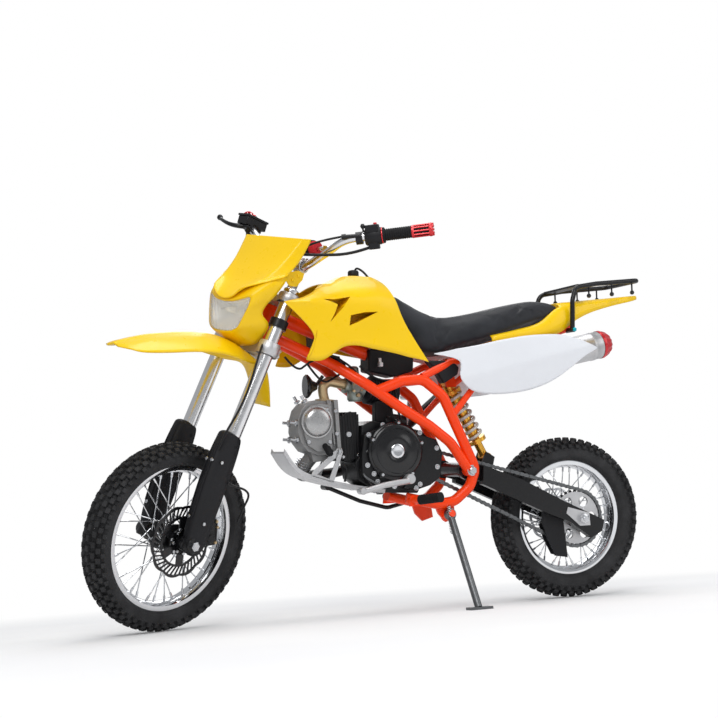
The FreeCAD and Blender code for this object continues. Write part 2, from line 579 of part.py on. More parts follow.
def tank_cover():
    """Moulded cover over the tank with a pointed wing each side."""
    def section(x, top_half, top, outer, shoulder, low_half, low, wall):
        t = wall
        right = [(top_half - t, top - t), (outer - t, shoulder - t / 2), (low_half - t, low - t)]
        left = [(-y, z) for y, z in reversed(right)]
        return [(x, y, z) for y, z in right + left]

    # Columns: x, half width of the top, its height, widest half width, its height,
    # half width at the bottom, bottom height.
    stations = [(312, 138, 848, 154, 842, 146, 690), (257, 120, 866, 152, 850, 140, 690),
                (184, 95, 902, 146, 850, 134, 690), (121, 82, 922, 138, 850, 130, 690),
                (23, 78, 926, 126, 850, 124, 690), (-60, 62, 900, 116, 800, 118, 690),
                (-124, 60, 880, 112, 760, 115, 688)]
    outer = loft([section(*row, 0) for row in stations])
    inner = loft([section(*row, SHEET) for row in stations])
    shell = outer.cut(inner)
    outline = [(306, 848), (257, 860), (217, 878), (184, 903), (149, 906), (121, 924), (73, 930),
               (23, 926), (-7, 908), (-22, 870), (-46, 810), (-78, 757), (-122, 690), (-82, 700),
               (-21, 714), (38, 725), (91, 735), (133, 731), (170, 709), (202, 694), (241, 696),
               (219, 746), (225, 770), (243, 790), (272, 819)]
    shell = shell.common(side_prism(outline, -170, 170))
    gap = CLAMP_REACH + 6
    clear = plan_prism([(330, -gap), (330, gap), (210, gap), (178, 90), (178, -90), (210, -gap)], 600, 1000)
    vents = [side_prism([(192, 857), (113, 865), (174, 797), (141, 846)], -170, 170),
             side_prism([(115, 790), (32, 827), (109, 809)], -170, 170)]
    cap_hole = cylinder((50, 0, 880), (50, 0, 960), FUEL_CAP_R + FIT)
    shell = shell.cut([clear, cap_hole] + vents)
    solids = sorted(shell.Solids, key=lambda s: s.Volume)
    keep("tank_cover", "chassis", Part.makeCompound([s for s in solids if s.Volume > 3000]))
    tank = side_prism([(175, 720), (178, 850), (110, 890), (20, 900), (-14, 888), (-14, 762), (40, 772)],
                      -56, 56)
    spine = rod(SPINE, 20, 120)
    keep("fuel_tank", "chassis", tank.cut(spine))
    keep("fuel_cap", "chassis", cylinder((50, 0, 897), (50, 0, 948), FUEL_CAP_R))


def seat():
    side = [(-24, 868), (-63, 886), (-93, 864), (-133, 839), (-164, 821), (-214, 818), (-289, 829),
            (-386, 851), (-469, 866), (-525, 870), (-577, 861), (-589, 848), (-560, 822), (-471, 797),
            (-372, 765), (-292, 742), (-229, 727), (-184, 716), (-126, 716), (-80, 768), (-48, 818)]
    plan = [(-20, 50), (-120, 62), (-230, 92), (-400, 104), (-520, 92), (-594, 40)]
    plan = plan + [(x, -y) for x, y in reversed(plan)]
    body = side_prism(side, -110, 110).common(plan_prism(plan, 600, 950))
    keep("seat", "chassis", body)


def side_panels():
    outline = [(-140, 713), (-176, 718), (-266, 734), (-407, 760), (-534, 766), (-591, 755), (-666, 729),
               (-621, 705), (-566, 667), (-496, 627), (-429, 608), (-333, 598), (-265, 605), (-227, 628),
               (-214, 650), (-219, 687), (-196, 701)]
    bend_front = (-219, 642)
    bend_rear = (-640, 735)
    run = Vector(bend_rear[0] - bend_front[0], 0, bend_rear[1] - bend_front[1]).normalize()
    up = Vector(-run.z, 0, run.x) * -1
    start = Vector(bend_front[0], 0, bend_front[1]) - run * 150
    corners = [(122, 0), (108, 140), (108 - SHEET, 140), (122 - SHEET, 0), (106 - SHEET, -90), (106, -90)]
    face = polygon([tuple(start + LEFT * y + up * h) for y, h in corners])
    sheet = face.extrude(run * 720)
    bosses = [cylinder((x, 72, z), (x, 114, z), 7) for x, z in ((-300, 712), (-470, 748))]
    left = fuse([sheet.common(side_prism(outline, 60, 160))] + bosses).cut(NODES["frame"][1])
    left = max(left.Solids, key=lambda solid: solid.Volume)
    keep("side_panel_left", "chassis", left)
    keep("side_panel_right", "chassis", mirrored(left))


def tail():
    """Rear mudguard: a long tapering tongue with skirts under the seat."""
    def section(x, half, top, low, wall):
        t = wall
        edge = low + (top - low) * 0.55
        return [(x, half * 0.72 - t, top - t), (x, half - t, edge), (x, half - t, low - t),
                (x, -half + t, low - t), (x, -half + t, edge), (x, -half * 0.72 + t, top - t)]

    # Columns: x, half width, top, bottom of the skirt.
    stations = [(-330, 98, 762, 742), (-486, 98, 800, 758), (-560, 98, 862, 775), (-611, 92, 868, 812),
                (-669, 82, 876, 836), (-752, 62, 884, 858), (-837, 42, 893, 876), (-872, 22, 896, 886)]
    outer = loft([section(*row, 0) for row in stations])
    inner = loft([section(*row, SHEET) for row in stations[:-1]])
    shell = outer.cut(inner)
    seat_space = side_prism([(-300, 700), (-300, 900), (-596, 900), (-596, 849), (-562, 819), (-471, 794),
                             (-372, 762)], -91, 91)
    bosses = [cylinder((-555, side * 74, 779), (-555, side * 96, 779), 7) for side in (-1, 1)]
    body = fuse([shell.cut(seat_space)] + bosses).cut(NODES["frame"][1])
    keep("rear_fender", "chassis", max(body.Solids, key=lambda solid: solid.Volume))


def rack():
    rail = rod([(-588, 107, 776), (-592, 107, 868), (-606, 104, 908), (-680, 98, 920), (-836, 92, 934),
                (-836, 0, 934)], 7, 26)
    pegs = [cylinder((x, 97, z), (x, 97, z - 32), 2.5) for x, z in ((-655, 914), (-734, 920), (-805, 926))]
    rail = fuse([rail] + pegs)
    plate = box(-650, -616, -98, 98, 912, 918)
    whole = fuse([rail, mirrored(rail), plate])
    mount = cylinder((-588, 76, 782), (-588, 116, 782), 7)
    keep("rear_rack", "chassis", fuse([whole, mount, mirrored(mount)]))


def lower_parts():
    curve = [(283, 447), (255, 405), (215, 382), (159, 362), (60, 342), (-1, 334)]
    outline = curve + [(x - 1, z - 5) for x, z in reversed(curve)]
    plate = side_prism(outline, -61, 61)
    bracket = side_prism([(212, 380), (130, 458), (116, 452), (146, 362), (160, 362)], 56 + FIT, 61)
    bracket = bracket.cut(side_prism([(186, 386), (136, 434), (154, 378)], 50, 70))
    keep("bash_plate", "chassis", fuse([plate, bracket, mirrored(bracket)]))
    peg = fuse([cylinder((-66, 80, 309), (-80, 118, 313), 10), cylinder((-80, 118, 313), (-120, 188, 322), 13)])
    keep("footpeg_left", "chassis", peg)
    keep("footpeg_right", "chassis", mirrored(peg))
    keep("shift_lever", "chassis", fuse([
        cylinder((-55, 86 + FIT, 371), (-55, 125, 371), 11),
        rod([(-55, 119, 371), (95, 125, 346)], 6),
        cylinder((95, 119, 346), (95, 152, 346), 8)]))
    keep("brake_pedal", "chassis", fuse([
        cylinder((-160, -100, 297), (-160, -134, 297), 9),
        rod([(-160, -128, 297), (-85, -130, 280), (0, -132, 304), (96, -132, 346)], 6, 40),
        cylinder((100, -120, 348), (100, -162, 348), 9)]))
    keep("kick_lever", "chassis", fuse([
        cylinder((-118, -84, 402), (-118, -134, 402), 10),
        rod([(-118, -127, 402), (-150, -127, 520), (-168, -127, 600)], 6.5, 30),
        cylinder((-168, -122, 600), (-168, -186, 604), 8)]))


def fork_group():
    """Everything that turns with the handlebar, drawn straight ahead."""
    def plate(along, thick):
        outline = [(-28, 20), (10, FORK_SPREAD + 8), (50, FORK_SPREAD + 8), (58, FORK_SPREAD - 24), (32, 30),
                   (32, -30), (58, -FORK_SPREAD + 24), (50, -FORK_SPREAD - 8), (10, -FORK_SPREAD - 8),
                   (-28, -20)]
        body = plan_prism(outline, along, along + thick)
        seats = [Vector(FORK_OFFSET, side * FORK_SPREAD, along) for side in (-1, 1)]
        ends = [Part.makeCylinder(CLAMP_EYE_R, thick, at) for at in seats]
        bores = [Part.makeCylinder(FORK_TUBE_R + FIT, thick, at) for at in seats]
        return fuse([body] + ends).cut(bores)

    stem = Part.makeCylinder(14, UPPER_CLAMP - LOWER_CLAMP + 10, Vector(0, 0, LOWER_CLAMP + 12))
    races = [Part.makeCylinder(HEAD_BORE_R - 0.1, 10, Vector(0, 0, along))
             for along in (LOWER_CLAMP + 40, UPPER_CLAMP - 14)]
    boss = Part.makeCylinder(10, 40, Vector(22, 0, LOWER_CLAMP - 40))
    fender_shape = fender()
    lower = fuse([plate(LOWER_CLAMP, 36), stem, boss] + races).transformed(FORK_FRAME.toMatrix()).cut(fender_shape)
    keep("lower_clamp", "steering", max(lower.Solids, key=lambda solid: solid.Volume))
    top = plate(UPPER_CLAMP, 26).cut(Part.makeCylinder(14 + FIT, 60, Vector(0, 0, UPPER_CLAMP - 18)))
    risers = [Part.makeCylinder(13, 100, Vector(4, side * 44, UPPER_CLAMP + 26)) for side in (-1, 1)]

    bar_line = handlebar_line()
    bar_space = rod(bar_line, BAR_R + FIT, 34)
    clamps = [box(-68, -34, s * 44 - 14, s * 44 + 14, 99, 135).translated(BAR_SEAT) for s in (-1, 1)]
    upper = fuse([fuse([top] + risers).transformed(FORK_FRAME.toMatrix())] + clamps)
    keep("upper_clamp", "steering", upper.cut(bar_space))

    tube = Part.makeCylinder(FORK_TUBE_R, FORK_LENGTH - 262, Vector(FORK_OFFSET, FORK_SPREAD, 262))
    cap = Part.makeCylinder(FORK_TUBE_R + 2, 10, Vector(FORK_OFFSET, FORK_SPREAD, FORK_LENGTH - 4))
    tube = fuse([tube, cap])
    keep("fork_tubes", "steering", both(tube).transformed(FORK_FRAME.toMatrix()))

    leg = Part.makeCylinder(21, 262 + 14, Vector(FORK_OFFSET, FORK_SPREAD, -14))
    guard = side_prism([(30, 300), (78, 292), (76, 180), (66, 40), (52, -6), (34, -22), (20, -18),
                        (14, 40), (20, 200)], FORK_SPREAD - 18, FORK_SPREAD + 27)
    hollow = side_prism([(10, 320), (71, 320), (69, 180), (60, 46), (10, 46)], FORK_SPREAD - 30, FORK_SPREAD + 23)
    tube_space = Part.makeCylinder(FORK_TUBE_R + FIT, 60, Vector(FORK_OFFSET, FORK_SPREAD, 262))
    lower = fuse([leg, guard.cut(hollow)]).cut(tube_space)
    keep("fork_guards", "steering", both(lower).transformed(FORK_FRAME.toMatrix()))
    axle_end = FORK_SPREAD - 21 - FIT
    axle = cylinder((FRONT_AXLE.x, -axle_end, FRONT_AXLE.z), (FRONT_AXLE.x, axle_end, FRONT_AXLE.z), AXLE_R)
    collars = [cylinder((FRONT_AXLE.x, side * (axle_end - 6), FRONT_AXLE.z),
                        (FRONT_AXLE.x, side * axle_end, FRONT_AXLE.z), 12) for side in (-1, 1)]
    keep("front_axle", "steering", fuse([axle] + collars))

    keep("front_fender", "steering", fender_shape)


def handlebar_line():
    """Bends of the bar from grip end to grip end."""
    right = [BAR_SEAT + Vector(*offset) for offset in ((-50, -62, 117), (-78, -190, 199), (-206, -366, 243))]
    return [(p.x, -p.y, p.z) for p in reversed(right)] + [tuple(p) for p in right]


def controls():
    """Handlebar with its cross tube and pad, grips, switches, brake reservoir and lever."""
    bar_line = handlebar_line()
    cross_end = BAR_SEAT + Vector(-66, 125, 169)
    pad_end = BAR_SEAT + Vector(-66, 92, 169)
    cross = rod([(cross_end.x, -cross_end.y, cross_end.z), tuple(cross_end)], 6)
    keep("handlebar", "steering", fuse([rod(bar_line, BAR_R, 34), cross]))
    pad = cylinder((pad_end.x, -pad_end.y, pad_end.z), tuple(pad_end), 15)
    keep("bar_pad", "steering", pad.cut(rod([(cross_end.x, -cross_end.y, cross_end.z), tuple(cross_end)], 6.3)))
    grips = []
    switches = []
    for start, tip in ((bar_line[1], bar_line[0]), (bar_line[-2], bar_line[-1])):
        tip = Vector(*tip)
        line = (tip - Vector(*start)).normalize()
        bore = cylinder(tuple(tip - line * 260), tuple(tip), BAR_R + FIT)
        grip = fuse([cylinder(tuple(tip - line * 125), tuple(tip + line * 4), 16),
                     cylinder(tuple(tip - line * 125), tuple(tip - line * 119), 20),
                     cylinder(tuple(tip - line * 2), tuple(tip + line * 4), 18)])
        grips.append(grip.cut(bore))
        switch = fuse([cylinder(tuple(tip - line * 168), tuple(tip - line * 126), 21),
                       cylinder(tuple(tip - line * 160), tuple(tip - line * 160 + Vector(16, 0, -26)), 9)])
        switches.append(switch.cut(bore))
    keep("grips", "steering", Part.makeCompound(grips))
    keep("switch_left", "steering", switches[0])
    keep("switch_right", "steering", switches[1])
    body = box(-128, -88, -248, -204, 217, 247)
    perch = box(-138, -98, -232, -206, 189, 221)
    blade = rod([(-98, -235, 227), (-73, -262, 225), (-83, -352, 235)], 6, 30)
    ball = Part.makeSphere(9, Vector(-83, -352, 235))
    lever = fuse([body, perch, blade, ball]).translated(BAR_SEAT)
    keep("brake_lever", "steering", lever.cut([rod(bar_line, BAR_R + FIT, 34), switches[1]]))


def fender():
    """Mudguard strip carried along its spine: x, z, half width, drop of the edges, tilt."""
    stations = [(454, 38, 26, 6, 8), (411, 48, 74, 22, 8), (351, 58, 86, 32, 4), (251, 63, 86, 36, 0),
                (171, 60, 82, 42, -6), (113, 50, 68, 50, -14), (71, 34, 56, 50, -24), (23, -2, 48, 34, -50),
                (-13, -64, 42, 16, -66), (-37, -132, 36, 8, -74)]

    def section(x, z, half, drop, tilt):
        across = [(half, -drop), (half * 0.72, -drop * 0.35), (half * 0.3, 0)]
        normal = Vector(sin(radians(-tilt)), 0, cos(radians(-tilt)))
        points = []
        upper = across + [(-y, h) for y, h in reversed(across)]
        for y, h in upper:
            points.append(Vector(x, y, z) + normal * h)
        for y, h in reversed(upper):
            points.append(Vector(x, y * 0.985, z) + normal * (h - SHEET))
        return [tuple(p) for p in points]

    return loft([section(*row) for row in stations]).translated(FENDER_SEAT)


def mask():
    """Number-plate cowl over the headlamp."""
    def section(z, front, half, back_x, back_half, wall):
        t = wall
        return [(front - t, -half + t * 0.6, z), (front - t, half - t * 0.6, z),
                (back_x - t, back_half - t, z), (back_x - t, -back_half + t, z)]

    # Columns: z, x of the front face, its half width, x of the rear edge, its half width.
    stations = [(190, 18, 92, -4, 124), (124, 64, 86, 17, 117), (75, 106, 78, 47, 109),
                (38, 150, 68, 73, 98), (-16, 166, 62, 106, 86), (-39, 158, 58, 90, 68),
                (-65, 144, 50, 86, 58)]
    outer = loft([section(*row, 0) for row in stations]).translated(BAR_SEAT)
    inner = loft([section(*row, SHEET) for row in stations]).translated(BAR_SEAT)
    inner = inner.fuse(inner.translated(Vector(-40, 0, 0)))
    shell = outer.cut(inner)
    window = box(107, 212, -58, 58, -49, 33).translated(BAR_SEAT)
    lamp = loft([[(160, -54, -45), (160, 54, -45), (156, 54, 29), (156, -54, 29)],
                 [(104, -44, -39), (104, 44, -39), (104, 44, 21), (104, -44, 21)]]).translated(BAR_SEAT)
    room = outer.fuse(outer.translated(Vector(-30, 0, 0))).cut(lamp)
    tabs = []
    clips = []
    for side in (-1, 1):
        tube_space = Part.makeCylinder(FORK_TUBE_R + FIT, 40, Vector(FORK_OFFSET, side * FORK_SPREAD, LAMP_LEVEL - 6))
        clip = Part.makeCylinder(25, 24, Vector(FORK_OFFSET, side * FORK_SPREAD, LAMP_LEVEL))
        clips.append(clip.cut(tube_space).transformed(FORK_FRAME.toMatrix()))
        low, high = sorted((side * 40, side * (FORK_SPREAD + 20)))
        tab = box(46, 120, low, high, LAMP_LEVEL + 6, LAMP_LEVEL + 12).cut(clip)
        tab = tab.transformed(FORK_FRAME.toMatrix())
        tabs.append(tab.common(room))
    cowl = shell.cut(window).fuse(tabs)
    keep("headlight_mask", "steering", max(cowl.Solids, key=lambda solid: solid.Volume))
    lamp = lamp.fuse(box(144, 154, -12, 12, -53, 37).translated(BAR_SEAT)).cut(cowl)
    keep("headlamp", "steering", max(lamp.Solids, key=lambda solid: solid.Volume))
    keep("lamp_bracket", "steering", Part.makeCompound([clip.cut(NODES["headlight_mask"][1]) for clip in clips]))


def fork_extras():
    caliper = box(-102, -70, 44, 74, -16, 48).translated(FRONT_AXLE)
    gap = cylinder((FRONT_AXLE.x, FRONT_DISC_Y - DISC_THICK / 2 - 1.5, FRONT_AXLE.z),
                   (FRONT_AXLE.x, FRONT_DISC_Y + DISC_THICK / 2 + 1.5, FRONT_AXLE.z), FRONT_DISC_R + 2)
    arm = box(-72, -15, 70, 76, 2, 42).translated(FRONT_AXLE)
    leg = cylinder(tuple(AXIS_FOOT + AHEAD * FORK_OFFSET + LEFT * FORK_SPREAD - STEER_AXIS * 30),
                   tuple(AXIS_FOOT + AHEAD * FORK_OFFSET + LEFT * FORK_SPREAD + STEER_AXIS * 262), 21.3)
    keep("front_caliper", "steering", fuse([caliper, arm]).cut([gap, leg]))


def rear_extras():
    outline = [(116, 49), (52, 15), (44, -59), (40, -112), (80, -101), (104, -55), (120, -5)]
    guide = side_prism(outline, CHAIN_Y + 9, ARM_Y0 - FIT)
    guide_in = side_prism([(110, -9), (52, -37), (44, -69)] + outline[3:6] + [(116, -15)],
                          CHAIN_Y - 13, CHAIN_Y - 9)
    tie = side_prism([(68, -95), (48, -95), (48, -107), (68, -107)], CHAIN_Y - 13, CHAIN_Y + 12)
    keep("chain_guide", "chassis", fuse([guide, guide_in, tie]).translated(REAR_AXLE))
    caliper = box(54, 86, -74, -46, 37, 87).translated(REAR_AXLE)
    gap = cylinder((REAR_AXLE.x, REAR_DISC_Y - DISC_THICK / 2 - 1.5, REAR_AXLE.z),
                   (REAR_AXLE.x, REAR_DISC_Y + DISC_THICK / 2 + 1.5, REAR_AXLE.z), REAR_DISC_R + 2)
    arm = box(25, 80, -ARM_Y0 + FIT, -ARM_Y0 + 5, 15, 65).translated(REAR_AXLE)
    keep("rear_caliper", "chassis", fuse([caliper, arm]).cut(gap))


def side_stand():
    """Tube leg from its bracket to a foot that lies flat on the ground, drawn where it stands."""
    foot = Vector(STAND_HINGE.x - 4, STAND_HINGE.y + STAND_REACH, 0)
    start = STAND_HINGE + (foot - STAND_HINGE).normalize() * 12
    leg = cylinder(tuple(start), (foot.x, foot.y, 5), 10)
    pad = box(foot.x - 34, foot.x + 30, foot.y - 16, foot.y + 18, 0, 7)
    eye = Part.makeCylinder(16, 14, STAND_HINGE - STAND_AXIS * 7, STAND_AXIS)
    bolt = Part.makeCylinder(STAND_BOLT_R + FIT, 60, STAND_HINGE - STAND_AXIS * 30, STAND_AXIS)
    head_room = Part.makeCylinder(12, 30, STAND_HINGE + STAND_AXIS * 7, STAND_AXIS)
    keep("side_stand", "side_stand", fuse([leg, pad, eye]).cut([bolt, head_room]))


def main():
    wheels()
    chain()
    frame()
    swingarm()
    shock()
    engine()
    exhaust()
    tank_cover()
    seat()
    side_panels()
    tail()
    rack()
    lower_parts()
    fork_group()
    controls()
    mask()
    fork_extras()
    rear_extras()
    trim("fuel_cap", "fuel_tank")
    trim("fuel_tank", "frame")
    trim("carburettor", "cylinder_head")
    trim("air_filter", "carburettor")
    trim("cylinder", "crankcase")
    trim("cylinder_head", "cylinder")
    trim("exhaust_pipe", "cylinder_head", "silencer")
    trim("bash_plate", "exhaust_pipe")
    trim("kick_lever", "crankcase")
    trim("brake_pedal", "frame")
    trim("footpeg_left", "frame")
    trim("footpeg_right", "frame")
    trim("front_caliper", "fork_guards")
    trim("rear_rack", "frame")
    trim("rear_fender", "seat")

    side_stand()
    placed = {}
    for name, (body, shape) in NODES.items():
        if body in ("steering", "front_wheel"):
            shape = shape.transformed(TURN.toMatrix())
        if body != "side_stand":
            shape = shape.transformed(STANDING.toMatrix())
        placed[name] = shape
    bounds = FreeCAD.BoundBox()
    for shape in placed.values():
        bounds.add(shape.optimalBoundingBox(False))
    centre = Vector((bounds.XMin + bounds.XMax) / 2, (bounds.YMin + bounds.YMax) / 2, bounds.ZMin)

    os.makedirs("parts", exist_ok=True)
    for name, shape in placed.items():
        shape = shape.translated(centre * -1)
        shape.exportStep("parts/%s.step" % name)
    print("size", bounds.XLength, bounds.YLength, bounds.ZLength, "lowest", bounds.ZMin)

    def place(point):
        return STANDING.multVec(point) - centre

    print("steer axis point", place(AXIS_FOOT), "direction", STANDING.Rotation.multVec(STEER_AXIS))
    print("front axle", place(TURN.multVec(FRONT_AXLE)),
          STANDING.Rotation.multVec(TURN.Rotation.multVec(LEFT)))
    print("rear axle", place(REAR_AXLE), STANDING.Rotation.multVec(LEFT))
    print("stand pivot", place(STAND_PIVOT), STAND_AXIS)
    for name, (body, shape) in NODES.items():
        if not placed[name].isValid() or placed[name].Volume <= 0:
            print("INVALID", name, placed[name].Volume)
        print("%-18s %-11s solids %d volume %9.0f" % (name, body, len(placed[name].Solids), placed[name].Volume))


main()
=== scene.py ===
"""Looks of a small dirt bike that leans on its side stand. Places are millimetres on the upright bike:
x forward, y to its left, z up from the ground midway between the axles."""

import json
from math import asin, cos, pi, radians, sin

import bmesh
import bpy
import numpy as np
from bpy.props import FloatProperty, IntProperty, PointerProperty
from mathutils import Matrix


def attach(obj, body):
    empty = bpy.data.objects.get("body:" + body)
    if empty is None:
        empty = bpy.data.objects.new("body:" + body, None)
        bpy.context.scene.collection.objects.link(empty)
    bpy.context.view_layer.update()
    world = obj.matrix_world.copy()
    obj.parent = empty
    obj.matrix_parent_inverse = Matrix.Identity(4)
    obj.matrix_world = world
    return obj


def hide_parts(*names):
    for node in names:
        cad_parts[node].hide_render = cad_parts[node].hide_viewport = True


bl_info = {
    "name": "Dirt bike looks",
    "version": (1, 0, 0),
    "blender": (4, 5, 0),
    "location": "3D View > Sidebar > Dirt bike",
    "description": "Bodywork, wheels, engine, cables and finishes of a small dirt bike",
    "category": "Add Mesh",
}

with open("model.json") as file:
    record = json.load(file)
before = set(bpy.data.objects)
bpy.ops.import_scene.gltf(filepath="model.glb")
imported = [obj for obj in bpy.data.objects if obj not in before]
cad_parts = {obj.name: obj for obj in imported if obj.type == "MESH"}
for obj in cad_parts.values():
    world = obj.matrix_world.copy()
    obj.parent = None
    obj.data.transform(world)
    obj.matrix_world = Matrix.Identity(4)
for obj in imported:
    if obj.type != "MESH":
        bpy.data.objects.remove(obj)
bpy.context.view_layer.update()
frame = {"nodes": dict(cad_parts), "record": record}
JOINTS = {joint["name"]: joint for joint in frame["record"]["behaviour"]["joints"]}

# The upright bike's own sizes, in millimetres, as the frame was drawn.
FRONT_AXLE = np.array((600.0, 0.0, 248.0))
REAR_AXLE = np.array((-600.0, 0.0, 235.0))
RAKE = radians(24)
FORK_OFFSET = 40.0
FORK_SPREAD = 92.0
LEAN = radians(6)
STEER_REST = radians(27.6)
FRONT_TYRE = {"radius": 248.0, "half": 38.0, "rim": 190.0, "rim_half": 24.0, "lug": 9.0}
REAR_TYRE = {"radius": 235.0, "half": 47.0, "rim": 165.0, "rim_half": 29.0, "lug": 10.0}

# The photograph's view: camera place on the upright bike's ground, turn, tilt, roll and lens.
CAMERA_PLACE = np.array((1255.0, 3132.0, 493.0))
CAMERA_YAW = radians(21.2)
CAMERA_PITCH = radians(-3.6)
CAMERA_ROLL = radians(-1.7)
PHOTO_SIDE = 718
FOCAL_PIXELS = 1200.0
SENSOR = 36.0
CENTRE_RISE = -1.0


def unit(vector):
    """Vector of length one along the given one."""
    vector = np.asarray(vector, float)
    return vector / np.linalg.norm(vector)


def rotation(axis, angle):
    """Matrix that turns by angle about a unit axis: the axis part stays, the rest turns."""
    x, y, z = unit(axis)
    cross = np.array(((0, -z, y), (z, 0, -x), (-y, x, 0)))
    return np.eye(3) + sin(angle) * cross + (1 - cos(angle)) * cross @ cross


AHEAD = np.array((cos(RAKE), 0, sin(RAKE)))
STEER_AXIS = np.array((-sin(RAKE), 0, cos(RAKE)))
AXIS_FOOT = FRONT_AXLE - AHEAD * FORK_OFFSET
FORK_BASIS = np.stack((AHEAD, (0, 1, 0), STEER_AXIS), axis=1)
AXLE_LINE = np.array(JOINTS["rear_wheel_spin"]["axis"])
PITCH = asin(-AXLE_LINE[0] / sin(LEAN))
STANDING = rotation((0, 1, 0), PITCH) @ rotation((1, 0, 0), -LEAN)
STANDING_SHIFT = np.array(JOINTS["rear_wheel_spin"]["pos_m"]) * 1000 - STANDING @ REAR_AXLE
TURN = rotation(STEER_AXIS, STEER_REST)


def bike(points):
    """Upright bike millimetres to the standing part's metres."""
    return (np.asarray(points, float) @ STANDING.T + STANDING_SHIFT) / 1000


def steer(points):
    """The same for what turns with the bars, drawn straight ahead: turned to its rest first."""
    return bike((np.asarray(points, float) - AXIS_FOOT) @ TURN.T + AXIS_FOOT)


def along_fork(points):
    """Points given ahead of, beside and along the steering axis, to straight-ahead millimetres."""
    return np.asarray(points, float) @ FORK_BASIS.T + AXIS_FOOT


def forks(points):
    """Points ahead of, beside and along the steering axis, to the standing part's metres."""
    return steer(along_fork(points))


PLACES = {"chassis": bike, "rear_wheel": bike, "steering": steer, "front_wheel": steer}


class Shape:
    """Vertices and faces that pieces are put together from."""

    def __init__(self):
        self.points = []
        self.faces = []
        self.count = 0

    def add(self, points, faces):
        points = np.asarray(points, float).reshape(-1, 3)
        self.points.append(points)
        self.faces.extend([tuple(int(i) + self.count for i in face) for face in faces])
        self.count += len(points)
        return self

    def all_points(self):
        return np.concatenate(self.points)


def grid_faces(rows, columns, close_rows=False, close_columns=False):
    """Quads of a grid, in order, with the last row or column joined to the first if closed."""
    row = np.arange(rows if close_rows else rows - 1)
    column = np.arange(columns if close_columns else columns - 1)
    a, b = np.meshgrid(row, column, indexing="ij")
    a2 = (a + 1) % rows
    b2 = (b + 1) % columns
    quads = np.stack((a * columns + b, a2 * columns + b, a2 * columns + b2, a * columns + b2), axis=-1)
    return quads.reshape(-1, 4)


def around(count):
    """Angles evenly round a circle."""
    return np.linspace(0, 2 * pi, count, endpoint=False)


def on_circle(centre, radius, angle, y=0.0):
    """Place on an upright circle about a centre, y to the left of it."""
    return centre + np.array((radius * cos(angle), y, radius * sin(angle)))


def smooth_path(points, steps=8):
    """Catmull-Rom curve through the points, sampled: each stretch is a cubic from its four neighbours."""
    p = np.asarray(points, float)
    ends = np.concatenate((2 * p[:1] - p[1:2], p, 2 * p[-1:] - p[-2:-1]))
    t = np.linspace(0, 1, steps, endpoint=False)[None, :, None]
    a, b, c, d = (ends[i:len(ends) - 3 + i][:, None, :] for i in range(4))
    curve = 0.5 * (2 * b + (c - a) * t + (2 * a - 5 * b + 4 * c - d) * t ** 2
                   + (3 * b - 3 * c + d - a) * t ** 3)
    return np.concatenate((curve.reshape(-1, p.shape[1]), p[-1:]))


def columns_of(table, steps=5):
    """Columns of a table, each made smooth and stood upright to meet a row of places across."""
    return smooth_path(table, steps).T[..., None]


def square_to(way):
    """Unit vector square to a unit one."""
    return unit(np.cross(way, np.eye(3)[np.argmin(np.abs(way))]))


def path_frames(path):
    """Two normals along a path: one is carried on square to each tangent, the other is square to both."""
    ahead = np.roll(path, -1, axis=0) - np.roll(path, 1, axis=0)
    ahead[0] = path[1] - path[0]
    ahead[-1] = path[-1] - path[-2]
    ahead /= np.linalg.norm(ahead, axis=1, keepdims=True)
    normals = [square_to(ahead[0])]
    for tangent in ahead[1:]:
        last = normals[-1]
        normals.append(unit(last - tangent * np.dot(last, tangent)))
    normals = np.array(normals)
    return normals, np.cross(ahead, normals)


def sheet(grid, flip=False, **closed):
    """Grid of points as a shape, its faces turned round if flipped."""
    faces = grid_faces(*grid.shape[:2], **closed)
    return Shape().add(grid, faces[:, ::-1] if flip else faces)


def closed_rings(rings):
    """Rings of points as a shape, with one face at each end."""
    count, sides = rings.shape[:2]
    shape = sheet(rings, flip=True, close_columns=True)
    shape.faces += [tuple(range(sides)), tuple(range(count * sides - 1, (count - 1) * sides - 1, -1))]
    return shape


def tube(path, radius, sides=16):
    """Circle of the given radius (one number or one per point) carried along a path, its ends closed."""
    path = np.asarray(path, float)
    side, up = path_frames(path)
    radius = np.broadcast_to(np.asarray(radius, float), (len(path),))[:, None, None]
    turn = around(sides)[None, :, None]
    return closed_rings(path[:, None, :] + radius * (np.cos(turn) * side[:, None, :]
                                                     + np.sin(turn) * up[:, None, :]))


def rod(start, end, radius, sides=16):
    """Straight round bar."""
    return tube([start, end], radius, sides)


def revolved(profile, centre, axis, sides=64):
    """Profile of (radius, height) points turned about an axis; rings at radius zero close the ends."""
    profile = np.asarray(profile, float)
    axis = unit(axis)
    side = square_to(axis)
    turn = around(sides)[None, :, None]
    out = np.cos(turn) * side + np.sin(turn) * np.cross(axis, side)
    rings = np.asarray(centre, float) + profile[:, None, :1] * out + profile[:, None, 1:] * axis
    return sheet(rings, flip=True, close_columns=True)


def extruded(outline, low, high):
    """Flat outline of (x, z) points carried from y = low to y = high, with both ends closed."""
    outline = np.asarray(outline, float)
    count = len(outline)
    near = np.stack((outline[:, 0], np.full(count, low), outline[:, 1]), axis=1)
    far = near + np.array((0, high - low, 0))
    faces = list(grid_faces(2, count, close_columns=True))
    faces += [tuple(range(count)), tuple(range(2 * count - 1, count - 1, -1))]
    return Shape().add(np.concatenate((near, far)), faces)


def block(x0, x1, y0, y1, z0, z1):
    """Plain box between two corners."""
    return extruded([(x0, z0), (x1, z0), (x1, z1), (x0, z1)], y0, y1)


def joined(*shapes):
    """One shape out of several."""
    whole = Shape()
    for shape in shapes:
        whole.add(shape.all_points(), shape.faces)
    return whole


def placed(shape, place):
    """The same faces on points that a function has put elsewhere."""
    return Shape().add(place(shape.all_points()), shape.faces)


